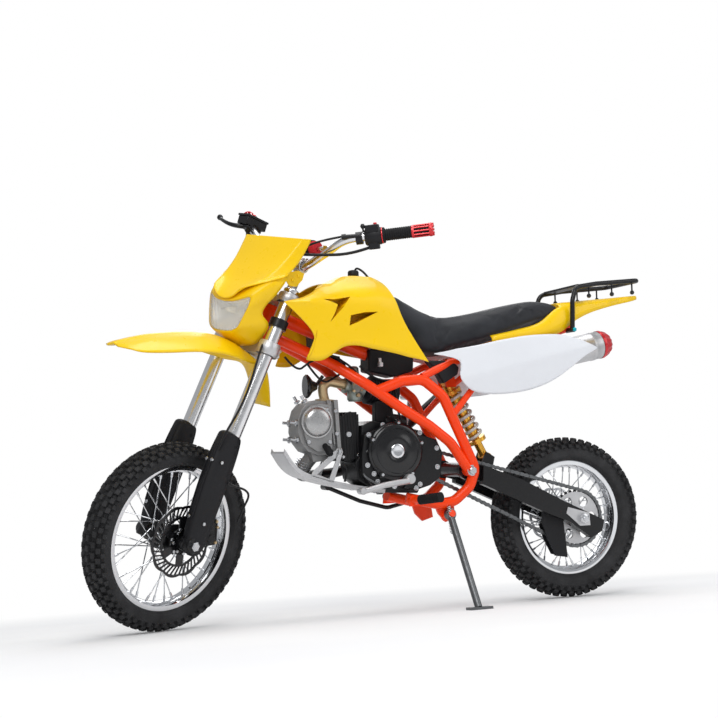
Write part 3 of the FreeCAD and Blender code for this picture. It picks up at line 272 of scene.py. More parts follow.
def mirror(shape):
    """The same shape on the other side, its faces turned round to point outwards."""
    return Shape().add(shape.all_points() * np.array((1, -1, 1)), [face[::-1] for face in shape.faces])


def both(shape):
    """A shape and its mirror image."""
    return joined(shape, mirror(shape))


def bolts(places, axis, radius, height, sides=6):
    """Hexagonal heads with a chamfered top, one at each place, standing along the axis."""
    profile = [(0, 0), (radius, 0), (radius, height * 0.8), (radius * 0.8, height), (0, height)]
    return joined(*[revolved(profile, place, axis, sides) for place in places])


def add_wall(thing, thick):
    """Gives a skin its thickness, inwards from the drawn face."""
    wall = thing.modifiers.new("wall", "SOLIDIFY")
    wall.thickness = thick / 1000
    wall.offset = -1


# Edges that turn more than this stay sharp, and a bevel takes them.
EDGE_ANGLE = radians(38)
WELD_REACH = 0.00002


def piece(name, body, shape, surface, stands_for=(), flat=False, bevel=0.0, thick=0.0,
          merge=False):
    """Puts a shape into a mesh object with its finish, its body and what it stands for."""
    mesh = bpy.data.meshes.new(name)
    mesh.from_pydata(PLACES[body](shape.all_points()).tolist(), [], shape.faces)
    mesh.validate()
    thing = bpy.data.objects.new(name, mesh)
    bpy.context.scene.collection.objects.link(thing)
    mesh.materials.append(finish(surface))
    mesh.polygons.foreach_set("use_smooth", np.full(len(mesh.polygons), not flat))
    if merge:
        weld = thing.modifiers.new("weld", "WELD")
        weld.merge_threshold = WELD_REACH
    if thick:
        add_wall(thing, thick)
    if bevel:
        edge = thing.modifiers.new("edge", "BEVEL")
        edge.width = bevel / 1000
        edge.segments = 2
        edge.limit_method = "ANGLE"
        edge.angle_limit = EDGE_ANGLE
    if not flat:
        mesh.set_sharp_from_angle(angle=EDGE_ANGLE)
    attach(thing, body)
    if stands_for:
        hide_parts(*stands_for)
    return thing


# Noise runs mostly between these values, so a finish goes from one end to the other over them.
NOISE_LOW, NOISE_HIGH = 0.3, 0.7
DRIFT_SCALE = 9.0
COAT_ROUGHNESS = 0.12


def nodes_of(name):
    """New material with its node tree and shader."""
    material = bpy.data.materials.new(name)
    material.use_nodes = True
    tree = material.node_tree
    return material, tree, tree.nodes["Principled BSDF"]


def fill(node, values):
    """Sets inputs of a node by their names."""
    for key, value in values.items():
        node.inputs[key].default_value = value
    return node


def texture(tree, kind, scale, **settings):
    """Texture node of one kind that reads the object's own coordinates."""
    where = tree.nodes.new("ShaderNodeTexCoord")
    node = fill(tree.nodes.new(kind), {"Scale": scale, **settings})
    tree.links.new(where.outputs["Object"], node.inputs["Vector"])
    return node


def spread(tree, source, low, high):
    """Number between low and high as the source goes through its range."""
    node = fill(tree.nodes.new("ShaderNodeMapRange"),
                {"From Min": NOISE_LOW, "From Max": NOISE_HIGH, "To Min": low, "To Max": high})
    tree.links.new(source, node.inputs["Value"])
    return node.outputs["Result"]


def tint(tree, source, dark, light):
    """Colour between dark and light as the source goes through its range."""
    node = tree.nodes.new("ShaderNodeValToRGB")
    for stop, place, colour in zip(node.color_ramp.elements, (NOISE_LOW, NOISE_HIGH), (dark, light)):
        stop.position = place
        stop.color = (*colour, 1)
    tree.links.new(source, node.inputs["Fac"])
    return node.outputs["Color"]


def relief(tree, shader, source, distance, strength=1.0):
    """Bump of a height of that many metres."""
    node = fill(tree.nodes.new("ShaderNodeBump"), {"Distance": distance, "Strength": strength})
    tree.links.new(source, node.inputs["Height"])
    tree.links.new(node.outputs["Normal"], shader.inputs["Normal"])


def finish_of(name, colour, rough, metal, coat, vary, grain, bump, spec):
    """Finish with slow colour drift, fine roughness variation and a little surface grain."""
    material, tree, shader = nodes_of(name)
    slow = texture(tree, "ShaderNodeTexNoise", DRIFT_SCALE, Detail=4.0)
    fine = texture(tree, "ShaderNodeTexNoise", grain, Detail=3.0)
    dark, light = (np.clip(np.array(colour) * (1 + drift), 0, 1) for drift in (-vary, vary))
    tree.links.new(tint(tree, slow.outputs["Fac"], dark, light), shader.inputs["Base Color"])
    tree.links.new(spread(tree, fine.outputs["Fac"], rough * 0.8, min(rough * 1.25, 1)),
                   shader.inputs["Roughness"])
    fill(shader, {"Metallic": metal, "Coat Weight": coat, "Coat Roughness": COAT_ROUGHNESS,
                  "Specular IOR Level": spec})
    if bump:
        relief(tree, shader, fine.outputs["Fac"], bump)
    return material


def lamp_glass():
    """Clear moulded lens with fine upright ribs."""
    material, tree, shader = nodes_of("lamp glass")
    wave = texture(tree, "ShaderNodeTexWave", 60.0, Distortion=1.0)
    fill(shader, {"Base Color": (0.96, 0.97, 0.97, 1), "Transmission Weight": 0.7, "Alpha": 0.5, "IOR": 1.15})
    tree.links.new(spread(tree, wave.outputs["Fac"], 0.03, 0.12), shader.inputs["Roughness"])
    relief(tree, shader, wave.outputs["Fac"], 0.0006)
    return material


def seat_cover():
    """Matt black vinyl: small pebbles in the surface, and a slow drift of its tone and roughness."""
    material, tree, shader = nodes_of("seat vinyl")
    slow = texture(tree, "ShaderNodeTexNoise", 14.0, Detail=5.0)
    pebble = texture(tree, "ShaderNodeTexVoronoi", 900.0)
    tree.links.new(tint(tree, slow.outputs["Fac"], (0.009, 0.010, 0.013), (0.024, 0.026, 0.032)),
                   shader.inputs["Base Color"])
    tree.links.new(spread(tree, slow.outputs["Fac"], 0.42, 0.62), shader.inputs["Roughness"])
    fill(shader, {"Sheen Weight": 0.05, "Specular IOR Level": 0.3})
    relief(tree, shader, pebble.outputs["Distance"], 0.0003, 0.6)
    return material


def tyre_rubber():
    """Dark rubber, greyer where dust lies, with a fine cast grain."""
    material, tree, shader = nodes_of("tyre rubber")
    slow = texture(tree, "ShaderNodeTexNoise", 22.0, Detail=6.0)
    fine = texture(tree, "ShaderNodeTexNoise", 400.0, Detail=2.0)
    tree.links.new(tint(tree, slow.outputs["Fac"], (0.012, 0.012, 0.013), (0.032, 0.032, 0.034)),
                   shader.inputs["Base Color"])
    tree.links.new(spread(tree, fine.outputs["Fac"], 0.55, 0.85), shader.inputs["Roughness"])
    fill(shader, {"Specular IOR Level": 0.35})
    relief(tree, shader, fine.outputs["Fac"], 0.0004)
    return material


# Columns: colour, roughness, metallic, coat, drift, grain scale, bump in metres, specular level.
FINISHES = {
    "yellow": ((0.96, 0.61, 0.002), 0.32, 0.0, 0.2, 0.015, 60, 0.0, 0.28),
    "white": ((0.80, 0.82, 0.86), 0.35, 0.0, 0.3, 0.02, 60, 0.0, 0.5),
    "orange": ((0.98, 0.055, 0.002), 0.32, 0.0, 0.15, 0.03, 120, 0.0, 0.25),
    "black paint": ((0.006, 0.006, 0.007), 0.34, 0.0, 0.15, 0.1, 140, 0.0002, 0.3),
    "fork tube": ((0.82, 0.82, 0.83), 0.2, 1.0, 0.0, 0.03, 60, 0.0, 0.5),
    "turquoise bolt": ((0.02, 0.45, 0.55), 0.3, 0.8, 0.0, 0.05, 140, 0.0, 0.5),
    "cable black": ((0.008, 0.008, 0.009), 0.42, 0.0, 0.0, 0.1, 160, 0.0, 0.3),
    "black gloss": ((0.005, 0.005, 0.006), 0.2, 0.0, 0.3, 0.1, 140, 0.0, 0.4),
    "carb grey": ((0.34, 0.38, 0.35), 0.42, 0.6, 0.0, 0.14, 240, 0.0003, 0.5),
    "black plastic": ((0.010, 0.010, 0.012), 0.5, 0.0, 0.0, 0.15, 300, 0.0002, 0.28),
    "grip rubber": ((0.010, 0.010, 0.011), 0.7, 0.0, 0.0, 0.15, 500, 0.0004, 0.25),
    "chrome": ((0.78, 0.79, 0.81), 0.1, 1.0, 0.0, 0.03, 80, 0.0, 0.5),
    "steel": ((0.62, 0.63, 0.65), 0.26, 1.0, 0.0, 0.05, 200, 0.0, 0.5),
    "alloy": ((0.60, 0.60, 0.61), 0.42, 0.85, 0.0, 0.08, 260, 0.0003, 0.5),
    "cap grey": ((0.46, 0.46, 0.46), 0.3, 0.85, 0.0, 0.06, 260, 0.0001, 0.5),
    "cast grey": ((0.30, 0.30, 0.30), 0.5, 0.6, 0.0, 0.12, 260, 0.0004, 0.5),
    "dark steel": ((0.16, 0.165, 0.17), 0.4, 0.9, 0.0, 0.12, 260, 0.0002, 0.5),
    "brass": ((0.62, 0.47, 0.27), 0.42, 0.8, 0.0, 0.15, 200, 0.0002, 0.5),
    "gold": ((0.85, 0.45, 0.06), 0.25, 0.8, 0.0, 0.05, 200, 0.0, 0.5),
    "red": ((0.70, 0.012, 0.02), 0.25, 0.3, 0.5, 0.05, 120, 0.0, 0.5),
    "red fabric": ((0.55, 0.02, 0.03), 0.75, 0.0, 0.0, 0.1, 700, 0.0005, 0.3),
    "reflector": ((0.9, 0.9, 0.9), 0.2, 0.45, 0.0, 0.03, 80, 0.0, 0.5),
    "bulb": ((0.95, 0.93, 0.86), 0.08, 0.0, 0.6, 0.01, 80, 0.0, 0.6),
    "spring white": ((0.62, 0.60, 0.56), 0.35, 0.2, 0.4, 0.05, 120, 0.0, 0.5),
}
MATERIALS = {}


SPECIAL_FINISHES = {"lamp glass": lamp_glass, "seat vinyl": seat_cover, "tyre rubber": tyre_rubber}


def finish(name):
    """Finish by name, made when it is first asked for."""
    if name not in MATERIALS:
        special = SPECIAL_FINISHES.get(name)
        MATERIALS[name] = special() if special else finish_of(name, *FINISHES[name])
    return MATERIALS[name]


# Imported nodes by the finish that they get.
NODES_OF_FINISH = {
    "alloy": "carburettor silencer bash_plate shift_lever lower_clamp upper_clamp rear_sprocket",
    "black paint": "swingarm crankcase cylinder exhaust_pipe rear_rack brake_pedal rear_caliper brake_lever "
                   "lamp_bracket front_caliper front_hub rear_hub",
    "black plastic": "air_filter fuel_tank fuel_cap chain_guide fork_guards switch_left switch_right",
    "cast grey": "cylinder_head",
    "chrome": "front_rim rear_rim front_spokes rear_spokes",
    "dark steel": "chain drive_sprocket front_disc side_stand",
    "gold": "shock_absorber",
    "grip rubber": "footpeg_left footpeg_right grips",
    "orange": "frame",
    "red": "silencer_cap",
    "red fabric": "bar_pad",
    "reflector": "headlamp",
    "seat vinyl": "seat",
    "spring white": "shock_spring",
    "steel": "rear_axle kick_lever fork_tubes front_axle handlebar rear_disc",
    "tyre rubber": "front_tyre rear_tyre",
    "white": "side_panel_left side_panel_right",
    "yellow": "tank_cover rear_fender front_fender headlight_mask",
}
NODE_FINISH = {node: name for name, nodes in NODES_OF_FINISH.items() for node in nodes.split()}


class BIKE_OT_frame_finishes(bpy.types.Operator):
    """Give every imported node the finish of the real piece"""

    bl_idname = "bike.frame_finishes"
    bl_label = "Frame finishes"

    def execute(self, context):
        for name, node in frame["nodes"].items():
            for socket in node.material_slots:
                socket.material = finish(NODE_FINISH[name])
        return {"FINISHED"}


def lobe(angle, power):
    """Cosine with its shoulders squared: the sign of the cosine times its size to a power."""
    wave = np.cos(angle)
    return np.sign(wave) * np.abs(wave) ** power


# The carcass: share of the tyre's half width that it takes, how square its crown and its walls are, the
# angle round the section at which it meets the rim, and the places of its rib lines in degrees.
CARCASS_WIDTH = 0.95
CROWN_POWER = 0.8
WALL_POWER = 0.85
BEAD_ANGLE = radians(148)
RIB_LINES = (78, 112)


def carcass_place(tyre, angle):
    """Radius and y of the carcass at an angle round its section: squared about mid wall."""
    base = tyre["radius"] - tyre["lug"]
    height = (base - tyre["rim"] + 4) / 2
    radius = base - height + height * lobe(angle, CROWN_POWER)
    return radius, tyre["half"] * CARCASS_WIDTH * lobe(angle - pi / 2, WALL_POWER)


def tyre_section(tyre):
    """Carcass section from bead to bead, with its rib lines raised."""
    turn = np.linspace(-BEAD_ANGLE, BEAD_ANGLE, 44)
    radius, y = carcass_place(tyre, turn)
    for place in RIB_LINES:
        y = y + np.sign(turn) * 1.3 * np.exp(-((np.abs(np.degrees(turn)) - place) / 3.5) ** 2)
    return np.stack((radius, y), axis=1)


# Columns: degrees round the section, length along the tread, width across it, height, share of a pitch later.
TREAD_ROWS = [(0, 15, 12, 1.0, 0.0), (27, 15, 12, 1.0, 0.5), (50, 14, 12, 1.0, 0.0), (71, 12, 11, 0.9, 0.5)]


# How far a block leans from straight out towards its own place round the section.
BLOCK_LEAN = 0.8


def tread(tyre, centre, count):
    """Rubber blocks, each a tapered box square to the carcass, in rows that are staggered round the tyre."""
    corners = np.array(((-1, -1), (1, -1), (1, 1), (-1, 1)))
    shape = Shape()
    rows = TREAD_ROWS + [(-row[0], *row[1:4], row[4] + 0.12) for row in TREAD_ROWS[1:]]
    for degrees_round, length, width, tall, later in rows:
        angle = radians(degrees_round)
        r0, y0 = carcass_place(tyre, angle)
        out = unit((cos(angle), BLOCK_LEAN * sin(angle)))
        across = np.array((-out[1], out[0]))
        reach = tyre["lug"] * tall
        turn = (np.arange(count) + later) * 2 * pi / count
        levels = []
        for rise, shrink in ((-2.5, 1.12), (reach - 1.2, 0.94), (reach, 0.8)):
            r = r0 + out[0] * rise + across[0] * corners[:, 1] * width / 2 * shrink
            y = y0 + out[1] * rise + across[1] * corners[:, 1] * width / 2 * shrink
            angle_round = turn[:, None] + (corners[:, 0] * length / 2 * shrink / r0)[None, :]
            r = np.minimum(r, tyre["radius"])[None, :]
            levels.append(np.stack((centre[0] + r * np.cos(angle_round),
                                    np.broadcast_to(y, angle_round.shape),
                                    centre[2] + r * np.sin(angle_round)), axis=-1))
        points = np.stack(levels, axis=1).reshape(-1, 3)
        block_faces = np.concatenate((grid_faces(3, 4, close_columns=True), [(11, 10, 9, 8)]))
        quads = (np.arange(0, 12 * count, 12)[:, None, None] + block_faces).reshape(-1, 4)
        shape.add(points, quads[:, ::-1])
    return shape


def vent_hairs(tyre, centre, count):
    """Fine rubber hairs that stand out of the tread's edge: thin three-sided spikes."""
    hairs = []
    for number in range(count):
        side = 1 if number % 2 else -1
        angle = side * radians(58 + 14 * sin(number * 2.4))
        turn = 2 * pi * (number + 0.3 * sin(number * 5.1)) / count
        r0, y0 = carcass_place(tyre, angle)
        direction = np.array((cos(angle) * cos(turn), sin(angle), cos(angle) * sin(turn)))
        foot = on_circle(centre, r0, turn, y0)
        hairs.append(tube([foot, foot + direction * (tyre["lug"] + 2.5)], (0.7, 0.25), 3))
    return joined(*hairs)


def rim_shape(tyre, centre):
    """Rolled rim: outer lips with round edges, bead seats and a drop centre, as one closed ring."""
    r, half = tyre["rim"], tyre["rim_half"]
    outer = [(r - 1, half - 3.0), (r + 1.2, half - 2.6), (r + 2.0, half - 1.4), (r + 1.2, half - 0.2),
             (r - 1, half), (r - 6, half - 0.6), (r - 11, half - 1.5), (r - 14, half - 6),
             (r - 17, half * 0.55), (r - 19, half * 0.3), (r - 19.5, 0)]
    inner = [(r - 15.5, 0), (r - 15, half * 0.3), (r - 8, half * 0.45), (r - 8, half - 5.0),
             (r - 6, half - 3.4)]
    loop = outer + [(a, -b) for a, b in reversed(outer[:-1])]
    back = [(a, -b) for a, b in reversed(inner)] + inner[1:]
    return revolved(np.array(loop + back + loop[:1]), centre, (0, 1, 0), 96)


SPOKE_COUNT = 36
# Circle of the spoke holes, how far a spoke leans back to its hole, how far in the rim's bed lies.
SPOKE_CIRCLE = 34.0
SPOKE_LEAN = radians(62)
RIM_BED = 19
HUB_FLANGE = {"radius": 37.0, "y": 28.0, "thick": 5.0}


def spoke_shape(tyre, centre):
    """Laced spokes: a bent head at the flange, a straight pull to the rim and a nipple there."""
    rods = []
    for number in range(SPOKE_COUNT):
        turn = 2 * pi * number / SPOKE_COUNT
        side = 1 if number % 2 else -1
        lean = 1 if (number // 2) % 2 else -1
        start = on_circle(centre, SPOKE_CIRCLE, turn + lean * SPOKE_LEAN,
                          side * (HUB_FLANGE["y"] + lean * 3.4))
        end = on_circle(centre, tyre["rim"] - RIM_BED, turn, side * 3.0)
        nipple = end + unit(start - end) * 14
        rods += [rod(start, end, 1.6, 8), rod(nipple, end, 3.0, 8)]
    return joined(*rods)


def hub_shape(centre, half_left, half_right):
    """Cast hub: waisted core between two spoke flanges, with a boss each side."""
    f, y, t = HUB_FLANGE["radius"] + 2, HUB_FLANGE["y"], HUB_FLANGE["thick"] / 2 + 2
    profile = [(8, -half_right), (24, -half_right), (26, -half_right + 2), (26, -y - t - 2), (f - 1, -y - t),
               (f, -y - t + 1), (f, -y + t - 1), (f - 1, -y + t), (24, -y + t + 5), (21.5, -6), (21.5, 6),
               (24, y - t - 5), (f - 1, y - t), (f, y - t + 1), (f, y + t - 1), (f - 1, y + t),
               (26, y + t + 2), (26, half_left - 2), (24, half_left), (8, half_left)]
    return revolved(profile, centre, (0, 1, 0), 48)


def wheel(end, tyre, centre, count, left, right, bolt_y):
    """Tyre, rim, spokes and hub of one wheel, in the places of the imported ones."""
    body = end + "_wheel"
    carcass = revolved(tyre_section(tyre), centre, (0, 1, 0), 128)
    bolt_ring = [on_circle(centre, 33, a, bolt_y) for a in np.arange(6) * pi / 3 + 0.3]
    piece(end + "_tyre_carcass", body, carcass, "tyre rubber", [end + "_tyre"])
    piece(end + "_tyre_tread", body, tread(tyre, centre, count), "tyre rubber", flat=True)
    piece(end + "_tyre_hairs", body, vent_hairs(tyre, centre, 130), "tyre rubber", flat=True)
    piece(end + "_rim_rolled", body, rim_shape(tyre, centre), "chrome", [end + "_rim"])
    piece(end + "_spokes_laced", body, spoke_shape(tyre, centre), "chrome", [end + "_spokes"])
    piece(end + "_hub_cast", body, hub_shape(centre, left, right), "black paint", [end + "_hub"])
    piece(end + "_hub_bolts", body, bolts(bolt_ring, (0, 1, 0), 4.5, 4.0), "steel", flat=True)


class BIKE_OT_wheels(bpy.types.Operator):
    """Knobbly tyres, chrome rims, laced spokes and cast hubs"""

    bl_idname = "bike.wheels"
    bl_label = "Wheels"

    def execute(self, context):
        look = context.scene.bike_look
        wheel("front", FRONT_TYRE, FRONT_AXLE, look.front_blocks, 58.0, 46.0, 58.75)
        wheel("rear", REAR_TYRE, REAR_AXLE, look.rear_blocks, 65.0, 52.0, 65.0)
        return {"FINISHED"}


def ease(value):
    """Slow start and end: three times the square less twice the cube."""
    value = np.clip(value, 0, 1)
    return value * value * (3 - 2 * value)


# Columns: x and z of the upper edge, x and z of the lower edge, from the nose to the back.
COVER_EDGES = [(306, 848, 306, 847), (284, 854, 280, 826), (257, 860, 252, 800), (234, 869, 233, 780),
               (214, 880, 222, 763), (198, 893, 219, 746), (184, 903, 225, 724), (166, 905, 234, 706),
               (149, 907, 241, 696), (121, 924, 202, 694), (98, 929, 170, 709), (73, 930, 133, 731),
               (48, 929, 91, 735), (22, 926, 38, 725), (-7, 908, -21, 714), (-22, 872, -62, 704),
               (-46, 812, -88, 699), (-78, 757, -106, 695), (-120, 693, -122, 690)]
# Columns: x, height of the top, half width there, widest half width, half width at the bottom.
COVER_WIDTHS = [(-124, 880, 60, 112, 115), (-60, 900, 62, 116, 118), (23, 926, 78, 128, 124),
                (121, 924, 84, 138, 130), (184, 903, 96, 146, 134), (257, 866, 126, 152, 140),
                (312, 848, 142, 154, 146)]
COVER_SHOULDER = 846.0
COVER_LOW = 690.0
# The cover's top: where it starts and ends, and how much it rises between the wings.
COVER_TOP_FROM = 180
COVER_TOP_TO = -22
COVER_CROWN = 5
# Vent outlines as (x, z): a folded slit behind the nose and a flat slit below it.
VENTS = [[(194, 858), (160, 858), (112, 866), (133, 838), (174, 796), (158, 824), (151, 844), (168, 851)],
         [(116, 788), (88, 799), (30, 827), (70, 825), (112, 816)]]


def cover_width(x, z):
    """Half width of the cover at a place in side view: full at the shoulder, drawn in above as a quarter
    round and below as a gentle curve, with a soft crease from the nose to the vent."""
    columns = np.array(COVER_WIDTHS).T
    top, top_half, outer, low_half = (np.interp(x, columns[0], column) for column in columns[1:])
    above = np.clip((z - COVER_SHOULDER) / np.maximum(top - COVER_SHOULDER, 12), 0, 1)
    below = np.clip((COVER_SHOULDER - z) / (COVER_SHOULDER - COVER_LOW), 0, 1)
    width = outer - (outer - top_half) * above ** 2.0 - (outer - low_half) * below ** 1.4
    crease = 848 + (306 - x) * 0.02
    nose = ease((x - 150) / 100)
    hollow = 5.0 * np.exp(-((x - 60) / 70) ** 2 - ((z - 770) / 40) ** 2)
    return width + 4.0 * nose * np.exp(-np.abs(z - crease) / 9) - hollow


def between_edges(table, steps, count):
    """Smooth table of edges, and the x and z of rows that join its upper edge to its lower one."""
    edges = smooth_path(table, steps)
    down = np.linspace(0, 1, count)[None, :]
    return (edges, edges[:, 0:1] + (edges[:, 2:3] - edges[:, 0:1]) * down,
            edges[:, 1:2] + (edges[:, 3:4] - edges[:, 1:2]) * down)


def faces_but(grid, bare_rows, bare_columns):
    """Faces of a grid of points, less those in the given rows and columns."""
    rows, columns = grid.shape[:2]
    keep = np.ones((rows - 1, columns - 1), bool)
    keep[np.ix_(bare_rows, bare_columns)] = False
    return grid_faces(rows, columns)[keep.ravel()]


def tank_cover_shape():
    """Grid across the whole cover: up the right wing, over the top and down the left wing. Each row joins
    the two edge curves; the rows ahead of the fuel tank and behind it have no top."""
    edges, x, z = between_edges(COVER_EDGES, 5, 15)
    left = np.stack((x, cover_width(x, z), z), axis=-1)
    right = left[:, ::-1] * np.array((1, -1, 1))
    across = np.linspace(-1, 1, 13)[None, 1:-1]
    x, half, z = (left[:, :1, i] for i in range(3))
    top = np.stack((x + 0 * across, across * half, z + COVER_CROWN * (1 - across ** 2)), axis=-1)
    grid = np.concatenate((right, top, left), axis=1)
    wing = left.shape[1]
    bare = (edges[:-1, 0] > COVER_TOP_FROM) | (edges[:-1, 0] < COVER_TOP_TO)
    return Shape().add(grid, faces_but(grid, bare, np.arange(wing - 1, grid.shape[1] - wing))[:, ::-1])


def applied(thing):
    """Puts the result of a piece's modifiers into its mesh."""
    bpy.context.view_layer.update()
    depsgraph = bpy.context.evaluated_depsgraph_get()
    mesh = bpy.data.meshes.new_from_object(thing.evaluated_get(depsgraph))
    thing.modifiers.clear()
    thing.data = mesh


def cut_through(thing, shapes):
    """Cuts closed shapes out of a piece and keeps the result as its mesh."""
    cutters = []
    for number, shape in enumerate(shapes):
        mesh = bpy.data.meshes.new("cutter")
        mesh.from_pydata(bike(shape.all_points()).tolist(), [], shape.faces)
        outwards = bmesh.new()
        outwards.from_mesh(mesh)
        bmesh.ops.recalc_face_normals(outwards, faces=outwards.faces)
        outwards.to_mesh(mesh)
        outwards.free()
        cutters.append(bpy.data.objects.new("cutter", mesh))
        bpy.context.scene.collection.objects.link(cutters[-1])
        cut = thing.modifiers.new("cut %d" % number, "BOOLEAN")
        cut.object = cutters[-1]
        cut.operation = "DIFFERENCE"
        cut.solver = "EXACT"
        cut.use_hole_tolerant = True
    applied(thing)
    for cutter in cutters:
        bpy.data.objects.remove(cutter)


def tank_cover():
    """Yellow cover with its vents cut through, the fuel cap's knob and its vent hose."""
    cover = piece("tank_cover_moulded", "chassis", tank_cover_shape(), "yellow", ["tank_cover"])
    cut_through(cover, [extruded(vent, side * 60, side * 200) for vent in VENTS for side in (-1, 1)])
    cover.data.set_sharp_from_angle(angle=radians(40))
    add_wall(cover, 3.0)
    knob = revolved([(0, -60), (20, -60), (22, -14), (24, -12), (24, -9), (15, -7), (14, 0), (15.5, 3),
                     (15.5, 16), (13, 20), (6, 22), (0, 22)], (50, 0, 936), (0, 0, 1), 32)
    vent = tube(smooth_path([(46, 0, 956), (40, 6, 962), (26, 14, 952), (12, 20, 934)], 6), 3.0, 10)
    piece("fuel_cap_knob", "chassis", joined(knob, vent), "black plastic", ["fuel_cap"])


# Columns: x, z of the spine, half width, drop of the edges, tilt in degrees.
FENDER_SPINE = [(803, 752, 20, 4, 8), (786, 757, 50, 12, 8), (760, 762, 72, 22, 8), (700, 772, 85, 32, 4),
                (600, 777, 86, 36, 0), (520, 774, 82, 42, -6), (462, 764, 68, 50, -14),
                (420, 748, 56, 50, -24), (372, 712, 48, 34, -50), (336, 650, 42, 16, -66),
                (312, 582, 34, 8, -74)]


def front_fender():
    """Mudguard: arched sections along the spine, each falling away to its edges, with a low middle ridge."""
    x, z, half, drop, tilt = columns_of(FENDER_SPINE)
    across = np.linspace(-1, 1, 25)[None, :]
    lean = np.radians(-tilt)
    rise = -drop * np.abs(across) ** 2.1 + 3.0 * np.exp(-(across / 0.13) ** 2) * ease((x - 430) / 80)
    grid = np.stack((x + np.sin(lean) * rise, half * across + 0 * x, z + np.cos(lean) * rise), axis=-1)
    piece("front_fender_moulded", "steering", sheet(grid), "yellow", ["front_fender"], thick=3.5)


# Columns: x, half width, top, bottom of the skirt.
TAIL_STATIONS = [(-330, 98, 772, 742), (-410, 99, 790, 750), (-486, 99, 812, 758), (-545, 98, 858, 772),
                 (-580, 96, 868, 792), (-611, 91, 871, 812), (-669, 80, 877, 836), (-752, 61, 885, 858),
                 (-837, 41, 894, 876), (-866, 28, 897, 884), (-874, 12, 897, 888)]
# The tail has no top ahead of here.
TAIL_TOP_FROM = -560


def rear_fender():
    """Tail: squared arches that narrow to a tongue; the ones under the seat have no top."""
    x, half, top, low = columns_of(TAIL_STATIONS)
    turn = np.linspace(0, pi, 33)[None, :]
    z = low + (top - low) * np.abs(np.sin(turn)) ** 0.5
    grid = np.stack((x + 0 * turn, half * lobe(turn, 0.42), z), axis=-1)
    shape = Shape().add(grid, faces_but(grid, x[:-1, 0] > TAIL_TOP_FROM, np.arange(8, 24)))
    piece("rear_fender_moulded", "chassis", shape, "yellow", ["rear_fender"], thick=3.5)


# Columns: x and z of the upper edge, x and z of the lower edge, from the front point to the back point.
PANEL_EDGES = [(-140, 714, -140, 712), (-176, 720, -176, 706), (-196, 724, -206, 698), (-210, 727, -219, 684),
               (-224, 729, -214, 655), (-244, 732, -225, 630), (-285, 739, -262, 606), (-350, 752, -333, 598),
               (-440, 765, -429, 607), (-534, 768, -510, 633), (-591, 757, -576, 673), (-630, 744, -622, 706),
               (-666, 729, -666, 728)]
PANEL_FOLD = ((-219, 642), (-640, 735))


def side_panel(side, name):
    """Number panel: rows that join the two edges; it bulges most along a rounded fold and falls away from
    it, less below the fold than above."""
    _, x, z = between_edges(PANEL_EDGES, 6, 23)
    (x0, z0), (x1, z1) = PANEL_FOLD
    run = unit((x1 - x0, z1 - z0))
    height = (x - x0) * run[1] - (z - z0) * run[0]
    away = np.sqrt(height ** 2 + 25) - 5
    y = 123 - away * np.where(height > 0, 0.105, 0.2) - 6 * np.exp(-np.abs(x + 666) / 30)
    shape = sheet(np.stack((x, y, z), axis=-1), flip=True)
    piece(name + "_moulded", "chassis", shape if side > 0 else mirror(shape), "white", [name], thick=3.0)


# Columns: z, x of the front face, its half width, x of the rear edge, its half width, rise of the edge.
SHIELD_ROWS = [(1043, 304, 114, 282, 124, 0), (1030, 313, 111, 286, 123, 0), (975, 352, 98, 311, 119, 10),
               (926, 396, 84, 340, 117, 28), (902, 426, 68, 352, 117, 44), (885, 448, 58, 360, 119, 58),
               (874, 459, 52, 363, 120, 68)]
# Columns: y, z of the lens edge, then x, y, z of the mask's outer edge, down one side from the top middle.
LAMP_RING = [(0, 864, 412, 0, 898), (34, 867, 408, 42, 912), (64, 876, 379, 84, 937),
             (78, 880, 348, 111, 940), (77, 862, 370, 101, 896), (71, 842, 392, 86, 864),
             (63, 820, 398, 80, 838), (55, 802, 376, 82, 812), (44, 794, 376, 66, 780),
             (30, 790, 388, 48, 758), (0, 788, 404, 0, 746)]

SHIELD_FOLD = 0.72
LAMP_MIDDLE = np.array((0, 845.0))


def lens_front(y, z):
    """Forward place of the lens at a height and distance from its middle: nearly flat, a little bowed."""
    return 461 + (864 - z) * 0.13 - np.abs(y / 66) ** 2.4 * 9


def mask_shield():
    """Shield plate over the lamp: nearly flat in front and folded back at both sides."""
    z, front, half, back, back_half, lift = columns_of(SHIELD_ROWS)
    across = np.linspace(-1, 1, 41)[None, :]
    inside = np.clip(np.abs(across) / SHIELD_FOLD, 0, 1)
    outside = np.clip((np.abs(across) - SHIELD_FOLD) / (1 - SHIELD_FOLD), 0, 1)
    y = np.sign(across) * (half * inside + (back_half - half) * outside)
    x = front + 7 * (1 - inside ** 2) - (front - back) * outside ** 1.15
    grid = np.stack((x, y, z + lift * np.abs(across) ** 2.6), axis=-1)
    piece("mask_shield", "steering", sheet(grid), "yellow", ["headlight_mask"], thick=3.5)


def mask_moulding(ring):
    """Moulding round the lens from brow to chin, bowed out between the lens and its outer edge."""
    inner = np.stack((lens_front(ring[:, 0], ring[:, 1]) - 4, ring[:, 0], ring[:, 1]), axis=1)[None]
    out = np.linspace(0, 1, 9)[:, None, None]
    bulge = np.array((9.0, 0, 0)) * np.sin(pi * out ** 0.8)
    grid = inner + (ring[None, :, 2:5] - inner) * out + bulge
    piece("mask_moulding", "steering", sheet(grid, close_columns=True), "yellow", thick=3.5)


